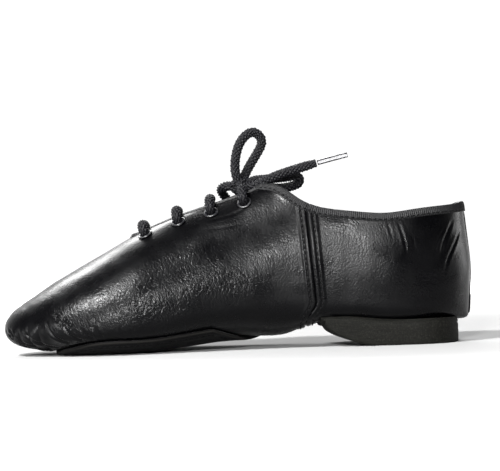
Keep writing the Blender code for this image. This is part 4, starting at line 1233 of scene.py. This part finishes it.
def heel_mesh():
    """Sections across the heel as closed loops: the cupped top, the walls with a rounded lower
    edge and a lip at the top, and the tread or the flange's underside below."""
    back = HEEL_BACK + HEEL_WIDTH / 2 * (1 - np.cos(np.linspace(0, math.pi / 2, 56)))
    flat = np.arange(back[-1], HEEL_FLAT_END, 0.00035)
    breast = HEEL_FLAT_END + (BREAST_END - HEEL_FLAT_END) * np.sin(np.linspace(0, math.pi / 2, 34))
    along = np.unique(np.concatenate([back, flat, breast, np.linspace(BREAST_END, FLANGE_END, 14)]))
    half = heel_half(along)
    across = np.linspace(-1, 1, 131)[None, :]
    inner, outer = under_half_width(along, half)
    signed = across * np.where(across > 0, inner, outer)
    gap = FIT_GAP * (2 - smooth_step((along - HEEL_BACK) / 0.003))[:, None]
    top = skin_across(along, signed, np.broadcast_to(gap, signed.shape))
    rise = np.clip((along - HEEL_FLAT_END) / (BREAST_END - HEEL_FLAT_END), 0, 1)[:, None]
    curve = 1 - np.sqrt(1 - rise**BREAST_CURVE)
    thin = np.clip((along - BREAST_END) / (FLANGE_END - BREAST_END), 0, 1)[:, None]
    flange = top[..., 2] - FLANGE_THICKNESS * (1 - 0.55 * thin**2)
    bottom = top.copy()
    bottom[..., 2] = np.where(along[:, None] >= BREAST_END, flange, flange * curve)
    climb = smooth_step((along - WAIST_RISE_START) / WAIST_RISE_RUN)[:, None]
    straight = SEAT_HEIGHT + LIP_RISE + WAIST_RISE * climb
    top[..., 2] = np.minimum(top[..., 2], straight)
    y = bottom[..., 1]
    margin = np.minimum(half[:, None] - np.abs(y), HEEL_FLAT_END - along[:, None])
    margin = np.minimum(margin, (along - HEEL_BACK)[:, None] * 1.5)
    inside = smooth_step((margin - TREAD_MARGIN) / 0.0005)
    bottom[..., 2] += pits(along[:, None], y) * inside
    slot = FLANGE_SLOT * hill(along[:, None] - FLANGE_STITCH, 0.0005) * (rise >= 1)
    bottom[..., 2] += slot * smooth_step((half[:, None] - np.abs(y) - 0.0010) / 0.0006)
    slope = np.gradient(half, along)
    facing = np.stack([-slope, np.ones_like(slope)], axis=1)
    facing /= np.linalg.norm(facing, axis=1, keepdims=True)
    facing[0] = (-1, 0)
    level, swell = WALL_SWELL[:, 0], WALL_SWELL[:, 1] / 1000
    walls = []
    for edge, sign in ((-1, 1), (0, -1)):
        high, low = top[:, edge], bottom[:, edge]
        wall = high[:, None] + (low - high)[:, None] * level[None, :, None]
        push = facing[:, None] * (swell[None, :, None] * (1 - 0.7 * rise[..., None]))
        wall[..., 0] += push[..., 0]
        wall[..., 1] += sign * push[..., 1]
        walls.append(wall)
    bottom[:, [0, -1], 0] -= facing[:, :1] * EDGE_SHRINK
    bottom[:, [0, -1], 1] -= facing[:, 1:] * np.array([[-EDGE_SHRINK, EDGE_SHRINK]])
    loop = np.concatenate([top, walls[0], bottom[:, ::-1], walls[1][:, ::-1]], axis=1)
    middle = (top[-1] + bottom[-1]) / 2
    caps = [np.stack([top[-1], middle, bottom[-1]])]
    side_caps = [
        np.stack([
            np.concatenate([top[-1, edge][None], walls[k][-1], bottom[-1, edge][None]]),
            np.broadcast_to(middle[edge], (len(level) + 2, 3)),
        ])
        for k, edge in ((0, -1), (1, 0))
    ]
    grids = [(loop.transpose(1, 0, 2), True)] + [(cap, False) for cap in caps + side_caps]
    return closed("heel_block", grids)[0]


def rubber(name, colour):
    """Moulded rubber: faint pale speckle, scuffs drawn out sideways and a fine tooled roughness."""
    made, tree, shader = finish_of(name, colour, 0.70, Specular_IOR_Level=0.07)
    place = node(tree, "TexCoord").outputs["Object"]
    speck = noise(tree, place, 1700.0, 3.0, 0.75)
    drawn = node(tree, "Mapping", Vector=place, Scale=(0.25, 1.0, 1.6)).outputs["Vector"]
    scuff = noise(tree, drawn, 420.0, 5.0, 0.7)
    shade = blend(tree, scuff, colour, lighter(colour, 4.5))
    feed(
        tree, shader, Roughness=ranged(tree, scuff, low=0.58, high=0.86),
        Base_Color=blend(tree, ranged(tree, speck, 0.50, 0.74), shade, lighter(colour, 14.0)),
        Normal=bump(tree, 0.4, 0.00006, speck, bump(tree, 0.8, 0.00025, scuff)),
    )
    return made


def flange_stitches():
    """A row of long stitches in the flange's slot, from side to side."""
    along = np.full(60, FLANGE_STITCH)
    half = heel_half(along[:1])
    inner, outer = under_half_width(along[:1], half - 0.0024)
    signed = np.linspace(-outer[0, 0], inner[0, 0], 60)
    path = scattered_skin(along, signed, FIT_GAP)
    path[:, 2] -= FLANGE_THICKNESS - 0.0003
    out = np.broadcast_to([0.0, 0.0, -1.0], path.shape)
    grids = stitch_grids(path, out, FLANGE_STITCH_LENGTH, 0.75, FLANGE_THREAD)
    return closed("flange_stitches", grids)[0]


BLACK_RUBBER = rubber("olive black rubber", (0.0011, 0.0011, 0.0009))
piece("heel_block", heel_mesh(), BLACK_RUBBER, "black_rubber", "heel")
piece("flange_stitches", flange_stitches(), BLACK_THREAD, "black_rubber")

# Eyelets: eight pressed steel rings with black enamel, set through the leather and rolled over.
EYELET_COUNT = 4
FIRST_EYELET = 0.1456
EYELET_PITCH = 0.0149
EYELET_INSET = 0.0062
EYELET_FLANGE = 0.0066
EYELET_BORE = 0.0042
EYELET_RIM = 0.0006
EYELET_SEAT = 0.0002
EYELET_WALL = 0.0004


def eyelet_frame(number, side):
    """Centre of an eyelet on the skin, its outward axis and the direction to the throat."""
    along = np.array([FIRST_EYELET - number * EYELET_PITCH])
    around = top_edge(along, side)[:, None] - EYELET_INSET
    centre = skin(along, around, side)[0, 0]
    axis = normals(along, around, side)[0, 0]
    up = skin(along, around + EYELET_INSET, side)[0, 0] - centre
    return centre, axis, unit(up - axis * (up @ axis))


def eyelet_mesh():
    """A rolled rim turned round each eyelet's axis: half an ellipse from the flange over the rim
    and down the bore, closed below."""
    flange, bore = EYELET_FLANGE / 2, EYELET_BORE / 2
    back = bore + EYELET_WALL
    arch = np.linspace(0, math.pi, 12)
    middle, half = (flange + bore) / 2, (flange - bore) / 2
    radius = np.concatenate([middle + half * np.cos(arch), [bore, back, back]])
    height = np.concatenate([
        EYELET_SEAT + EYELET_RIM * np.sin(arch) ** 0.7,
        [-LEATHER_WALL, -LEATHER_WALL, EYELET_SEAT],
    ])
    turn = np.linspace(0, 2 * np.pi, 41)[:-1]
    grids = []
    for side in (1, -1):
        for number in range(EYELET_COUNT):
            centre, axis, up = eyelet_frame(number, side)
            beside = np.cross(axis, up)
            ray = np.cos(turn)[:, None] * up + np.sin(turn)[:, None] * beside
            ring = centre + axis * height[:, None, None] + ray[None] * radius[:, None, None]
            grids.append((ring.transpose(1, 0, 2)[:, np.r_[0:15, 0]], True))
    return closed("eyelets", grids)[0]


def enamel(name, colour):
    """Black enamel, chipped to dull metal in a few small places."""
    made, tree, shader = finish_of(
        name, colour, 0.34, Metallic=0.0, Specular_IOR_Level=0.30,
        Coat_Weight=0.25, Coat_Roughness=0.20,
    )
    worn = noise(tree, node(tree, "TexCoord").outputs["Object"], 900.0, 4.0, 0.7)
    feed(
        tree, shader, Normal=bump(tree, 0.3, 0.00004, worn),
        Base_Color=blend(tree, ranged(tree, worn, 0.60, 0.68), colour, (0.10, 0.10, 0.10)),
        Roughness=ranged(tree, worn, low=0.26, high=0.50),
    )
    return made


BLACK_ENAMEL = enamel("black enamel", (0.004, 0.004, 0.005))
eyelet_nodes = [
    f"eyelet_{name}_{i + 1}" for name in ("inner", "outer") for i in range(EYELET_COUNT)
]
piece("eyelets", eyelet_mesh(), BLACK_ENAMEL, "black_metal", *eyelet_nodes)

# Lace: one round braid of dull black polyester. Three bars cross the throat, the last eyelets
# send it up to a bow at the top: a knot, a loop standing up, a loop lying back and two ends.
LACE_DIAMETER = 0.0036
LACE_SQUEEZE = 0.0030
KNOT_PLACE = np.array([-0.0034, 0.0006, 0.0728])
KNOT_WIDTH = 0.0092
KNOT_DEPTH = 0.55
PINCH_REACH = 0.0030
BRAID_STRANDS = 4
BRAID_PITCH = 0.00215
BRAID_HEIGHT = 0.00044
LOOP_UP_ROUTE = [
    (-0.0014, 0.0016, 0.0769), (-0.0007, 0.0018, 0.0818), (-0.0016, 0.0014, 0.0881),
    (-0.0044, 0.0004, 0.0941), (-0.0097, -0.0008, 0.0971), (-0.0130, -0.0016, 0.0938),
    (-0.0112, -0.0020, 0.0882), (-0.0076, -0.0022, 0.0826), (-0.0046, -0.0020, 0.0768),
]
LOOP_SIDE_ROUTE = [
    (-0.0090, 0.0006, 0.0752), (-0.0130, 0.0010, 0.0756), (-0.0190, 0.0012, 0.0760),
    (-0.0254, 0.0008, 0.0766), (-0.0288, -0.0004, 0.0764), (-0.0296, -0.0018, 0.0744),
    (-0.0258, -0.0030, 0.0722), (-0.0200, -0.0034, 0.0716), (-0.0140, -0.0028, 0.0718),
    (-0.0094, -0.0016, 0.0718),
]
NEAR_END_ROUTE = [
    (-0.0082, 0.0052, 0.0722), (-0.0118, 0.0058, 0.0736), (-0.0166, 0.0062, 0.0759),
    (-0.0256, 0.0066, 0.0789), (-0.0372, 0.0068, 0.0820), (-0.0518, 0.0068, 0.0854),
]
FAR_END_ROUTE = [
    (0.1080, 0.0050), (0.1075, 0.0110), (0.1085, 0.0180), (0.1105, 0.0260), (0.1130, 0.0350),
]
AGLET_LENGTH = 0.0145
AGLET_DIAMETER = 0.0024
FILM_WALL = 0.0003
# Film colours: clear, and the near black painted in two bands along the tube's sides, painted shade
# for the dark edges of clear film.
FILM_CLEAR = (0.93, 0.93, 0.94)
FILM_PAINTED_EDGE_SHADE = (0.020, 0.020, 0.022)
# A lace's way over an eyelet's rim: shares of its height over the rim and of the way to the edge.
OVER_RIM = ((0.35, 0.00), (0.82, 0.07), (1.00, 0.34), (0.95, 0.80))


def smooth_route(points, spacing):
    """Evenly spaced points on a spline through the route's points."""
    points = np.array([list(point) for point in points], float)
    chord = run_along(points)
    table = np.column_stack([chord, points])
    fine = np.linspace(0, chord[-1], 500)
    curve = np.column_stack([spline(table, column, fine) for column in (1, 2, 3)])
    return even_path(curve, spacing)[0]


def into_knot(point):
    """A point between a cord's end and the knot's middle, so that the cord runs into the knot."""
    return KNOT_PLACE + KNOT_DEPTH * (np.array(point) - KNOT_PLACE)


def braid(path, level, squeeze=(1.0, 1.0)):
    """A braided cord as one closed grid: a circle carried along the path, raised where one of two
    sets of helices runs over the other. The cord narrows at an end by the squeeze."""
    ahead = unit(np.gradient(path, axis=0))
    beside = unit(np.cross(ahead, np.asarray(level, float)))
    up = np.cross(beside, ahead)
    run = run_along(path)
    turn = np.linspace(0, 2 * np.pi, 12 * BRAID_STRANDS + 1)[:-1]
    one = BRAID_STRANDS * turn[:, None] + 2 * np.pi * run[None, :] / BRAID_PITCH / 2
    two = BRAID_STRANDS * turn[:, None] - 2 * np.pi * run[None, :] / BRAID_PITCH / 2
    strand = np.abs(np.sin(one)) ** 0.7 * np.abs(np.sin(two)) ** 0.7
    relief = BRAID_HEIGHT * (2 * strand - 0.8)
    near = 1 - (1 - squeeze[0]) * hill(run, PINCH_REACH)
    far = 1 - (1 - squeeze[1]) * hill(run[-1] - run, PINCH_REACH)
    radius = (LACE_DIAMETER / 2 + relief) * (near * far)[None, :]
    shape = np.cos(turn)[:, None, None] * beside[None] + np.sin(turn)[:, None, None] * up[None]
    grid = path[None] + shape * radius[..., None]
    ends = [np.broadcast_to(path[at], (len(turn), 1, 3)) for at in (0, -1)]
    grid = np.concatenate([ends[0], grid, ends[1]], axis=1)
    return grid, np.pad(strand, ((0, 0), (1, 1)))


def cord_mesh(name, *cords):
    """One mesh of several cords, which keeps how high each point stands on its strand, for the
    braid's painted light and shade.
    """
    mesh, kept = closed(name, [(grid, True) for grid, _ in cords])
    put_number(mesh, kept, np.concatenate([strand.ravel() for _, strand in cords]), "strand")
    return mesh


def from_eyelet(number, side):
    """Route out of an eyelet: up its bore, over its rim and on to the edge of the throat."""
    centre, axis, up = eyelet_frame(number, side)
    over = LACE_DIAMETER / 2 + EYELET_RIM + 3 * FIT_GAP
    return [centre - axis * (LEATHER_WALL - FIT_GAP)] + [
        centre + axis * (high * over) + up * (inwards * EYELET_INSET)
        for high, inwards in OVER_RIM
    ]


def braided(name, colour):
    """Braid yarn: fine fibre noise on Object coordinates over the modelled strands. Its colour
    carries painted shade in the hollows and a painted highlight, nine times lighter, on the
    strands' backs."""
    made, tree, shader = finish_of(name, colour, 0.46, Specular_IOR_Level=0.13)
    place = node(tree, "TexCoord").outputs["Object"]
    shade = blend(tree, noise(tree, place, 500.0, 3.0), colour, lighter(colour, 2.2))
    # Painted light: the higher a point stands on its strand, the lighter its colour.
    back = ranged(tree, number_on(tree, "strand"), 0.25, 0.95)
    feed(
        tree, shader, Normal=bump(tree, 0.7, 0.00010, noise(tree, place, 5200.0, 3.0, 0.7)),
        Base_Color=blend(tree, back, shade, lighter(colour, 9.0)),
    )
    return made


BLACK_BRAID = braided("black braid", (0.0006, 0.0006, 0.0008))
LACE_STEP = BRAID_PITCH / 8
pinched = LACE_SQUEEZE / LACE_DIAMETER
bars = []
for number in range(3):
    along = np.array([FIRST_EYELET - number * EYELET_PITCH])
    full = section(along, 1)[2][:, -1:]
    middle = skin(along, full, 1, np.full((1, 1), LACE_DIAMETER / 4))[0, 0]
    route = from_eyelet(number, 1) + [middle] + from_eyelet(number, -1)[::-1]
    bars.append(braid(smooth_route(route, LACE_STEP), (1, 0, 0), (pinched, pinched)))
bar_nodes = [f"lace_bar_{i + 1}" for i in range(3)]
piece("lace_bars", cord_mesh("lace_bars", *bars), BLACK_BRAID, "black_cord", *bar_nodes)

tops = []
for side in (1, -1):
    reach = KNOT_WIDTH / 2 + FIT_GAP + LACE_DIAMETER / 4
    end = KNOT_PLACE + (0, side * reach, -LACE_DIAMETER / 4)
    route = from_eyelet(EYELET_COUNT - 1, side) + [end]
    tops.append(braid(smooth_route(route, LACE_STEP), (1, 0, 0), (pinched, pinched)))
piece(
    "lace_tops", cord_mesh("lace_tops", *tops), BLACK_BRAID, "black_cord",
    "lace_top_inner", "lace_top_outer",
)


def ring_path(radii, tilt, turn_by):
    """An ellipse round the knot's middle, tilted about X and turned about Z, not quite closed."""
    angle = np.linspace(0, 2 * np.pi * 0.98, 90)
    flat = np.stack([radii[0] * np.cos(angle), 0 * angle, radii[1] * np.sin(angle)], axis=1)
    pose = Matrix.Rotation(turn_by, 3, "Z") @ Matrix.Rotation(tilt, 3, "X")
    return KNOT_PLACE + flat @ np.array(pose).T


wraps = [
    braid(ring_path((0.0036, 0.0022), 0.25, 0.35), (0.3, 1, 0.2)),
    braid(ring_path((0.0030, 0.0021), -0.35, 1.45), (1, -0.1, 0.3)),
    braid(ring_path((0.0033, 0.0016), 0.80, -0.55), (-0.4, 0.7, 0.7)),
]
piece("lace_wraps", cord_mesh("lace_wraps", *wraps), BLACK_BRAID, "black_cord", "lace_knot")

for name, route, level in (
    ("loop_up", LOOP_UP_ROUTE, (0, 1, 0)),
    ("loop_side", LOOP_SIDE_ROUTE, (0, 1, 0.2)),
):
    path = smooth_route([into_knot(route[0])] + route + [into_knot(route[-1])], LACE_STEP)
    made = piece(
        "bow_" + name, cord_mesh("bow_" + name, braid(path, level)), BLACK_BRAID, "black_cord",
        "lace_" + name,
    )


def clear_film(name):
    """Acetate film, heat-shrunk round the braid's end: clear, slightly smoky, faintly wrinkled,
    with painted shade in two bands along opposite sides of the tube, where clear film's edges look
    dark.
    """
    made, tree, shader = finish_of(
        name, (0.42, 0.42, 0.43), 0.10, Transmission_Weight=1.0, IOR=1.46, Specular_IOR_Level=0.08
    )
    crinkle = noise(tree, node(tree, "TexCoord").outputs["Object"], 700.0, 2.0)
    feed(
        tree, shader, Normal=bump(tree, 0.2, 0.00004, crinkle),
        Base_Color=blend(tree, number_on(tree, "fold"), FILM_CLEAR, FILM_PAINTED_EDGE_SHADE),
        Roughness=ranged(tree, crinkle, low=0.04, high=0.2),
    )
    return made


def film_tube(path, level):
    """A thin tube with a real wall: an outer and an inner circle carried along the path, the
    profile closed at both ends."""
    ahead = unit(np.gradient(path, axis=0))
    beside = unit(np.cross(ahead, np.asarray(level, float)))
    up = np.cross(beside, ahead)
    turn = np.linspace(0, 2 * np.pi, 33)[:-1]
    shape = np.cos(turn)[:, None, None] * beside[None] + np.sin(turn)[:, None, None] * up[None]
    outer = path[None] + shape * (AGLET_DIAMETER / 2)
    inner = path[None] + shape * (AGLET_DIAMETER / 2 - FILM_WALL)
    whole = np.concatenate([outer, inner[:, ::-1], outer[:, :1]], axis=1)
    # Painted shade: the colour turns near black on the two sides of the tube along its up
    # direction.
    fold = smooth_step((np.abs(np.sin(turn)) - 0.60) / 0.15)[:, None]
    return (whole, True), np.broadcast_to(fold, whole.shape[:2])


def far_end_points():
    """The other end: off the knot, over the edge of the throat and down the outer side."""
    lift = LACE_DIAMETER / 2 + 2 * FIT_GAP
    route = [KNOT_PLACE + (0.0064, -0.0012, 0.0004), KNOT_PLACE + (0.0092, -0.0052, -0.0006)]
    for along, below in FAR_END_ROUTE:
        where = np.array([along])
        around = top_edge(where, -1)[:, None] - below
        route.append(skin(where, around, -1, np.full((1, 1), lift))[0, 0])
    return route


CLEAR_FILM = clear_film("clear film")
for name, route, level in (
    ("end_near", NEAR_END_ROUTE, (0, 0, 1)),
    ("end_far", far_end_points(), (1, 0, 0)),
):
    path = smooth_route([into_knot(route[0])] + list(route), LACE_STEP)
    run = run_along(path)
    soft = path[run <= run[-1] - AGLET_LENGTH - FIT_GAP]
    stiff = path[run >= run[-1] - AGLET_LENGTH][::3]
    tube, fold = film_tube(stiff, level)
    tip_mesh, kept = closed("tip_" + name, [tube])
    put_number(tip_mesh, kept, fold, "fold")
    tip = piece("tip_" + name, tip_mesh, CLEAR_FILM, "clear_tip", f"lace_{name}_tip")
    made = piece(
        "bow_" + name, cord_mesh("bow_" + name, braid(soft, level, (1.0, 0.80))), BLACK_BRAID,
        "black_cord", "lace_" + name,
    )

# Studio: a floor painted grey near the shoe and white further out, where it glows as painted
# light, under a sky that is white behind the shoe and dark before it, three small soft boxes on the
# camera's side, a long one behind for the crest and one beyond the heel.
# The camera stands low on the inner side.
NEAR_FLOOR = (0.30, 0.30, 0.30)
FAR_FLOOR = (0.96, 0.96, 0.96)
FLOOR_REACH = 6.0
floor_mesh = bpy.data.meshes.new("floor")
corners = [(x * FLOOR_REACH, y * FLOOR_REACH, 0) for x, y in ((-1, -1), (1, -1), (1, 1), (-1, 1))]
floor_mesh.from_pydata(corners, [], [(0, 1, 2, 3)])
floor = bpy.data.objects.new("floor", floor_mesh)
bpy.context.scene.collection.objects.link(floor)
# Floor paint grey near the shoe and white further out, where it also glows: painted light.
GLOWING_FLOOR_PAINT, tree, shader = finish_of(
    "grey and glowing floor paint", (0.95, 0.95, 0.95), 0.85,
    Specular_IOR_Level=0.1, Emission_Color=(1, 1, 1, 1),
)
ground = node(tree, "TexCoord").outputs["Object"]
far = node(tree, "VectorMath", {"operation": "LENGTH"}, in0=ground).outputs["Value"]
reach = ranged(tree, far, 0.16, 1.10, kind="SMOOTHSTEP")
# Painted light: colour and glow both rise with the distance from the shoe.
feed(
    tree, shader, Base_Color=blend(tree, reach, NEAR_FLOOR, FAR_FLOOR),
    Emission_Strength=ranged(tree, reach, high=0.75),
)
floor_mesh.materials.append(GLOWING_FLOOR_PAINT)

bpy.context.scene.view_settings.view_transform = "Standard"
world = bpy.data.worlds.new("studio")
bpy.context.scene.world = world
world.use_nodes = True
sky = world.node_tree
sky.nodes["Background"].inputs["Color"].default_value = (1, 1, 1, 1)
way = node(sky, "SeparateXYZ", Vector=node(sky, "TexCoord").outputs["Generated"]).outputs["Y"]
dim = ranged(sky, way, -0.75, -0.15, 1.06, 0.12, kind="SMOOTHSTEP")
feed(sky, sky.nodes["Background"], Strength=dim)

for name, place, size, power in (
    ("front_box", (0.46, 0.56, 0.76), (0.20, 0.10), 32.0),
    ("quarter_box", (0.08, 0.88, 0.29), (0.10, 0.06), 14.0),
    ("crest_box", (0.15, -0.78, 0.62), (0.90, 0.30), 13.0),
    ("rim_box", (-0.90, -0.35, 0.14), (0.20, 0.30), 1.5),
    ("toe_box", (0.85, 0.50, 0.10), (0.10, 0.08), 3.5),
):
    data = bpy.data.lights.new(name, "AREA")
    data.shape, data.size, data.size_y, data.energy = "RECTANGLE", *size, power
    box = bpy.data.objects.new(name, data)
    box.location = place
    aim = Vector((0, 0, 0.04)) - box.location
    box.rotation_euler = aim.to_track_quat("-Z", "Y").to_euler()
    bpy.context.scene.collection.objects.link(box)

EYE_DISTANCE = 0.85
EYE_HEIGHT = 0.0505
EYE_ALONG = -0.0064
VIEW_WIDTH = 0.2263
ROLL = 1.97
camera = bpy.data.objects.new("camera", bpy.data.cameras.new("camera"))
camera.data.sensor_width, camera.data.lens = 36, 36 * EYE_DISTANCE / VIEW_WIDTH
level = Matrix(((-1, 0, 0), (0, 0, 1), (0, 1, 0))).to_4x4()
camera.matrix_world = (
    Matrix.Translation((EYE_ALONG, EYE_DISTANCE, EYE_HEIGHT))
    @ level @ Matrix.Rotation(math.radians(-ROLL), 4, "Z")
)
bpy.context.scene.collection.objects.link(camera)
bpy.context.scene.camera = camera
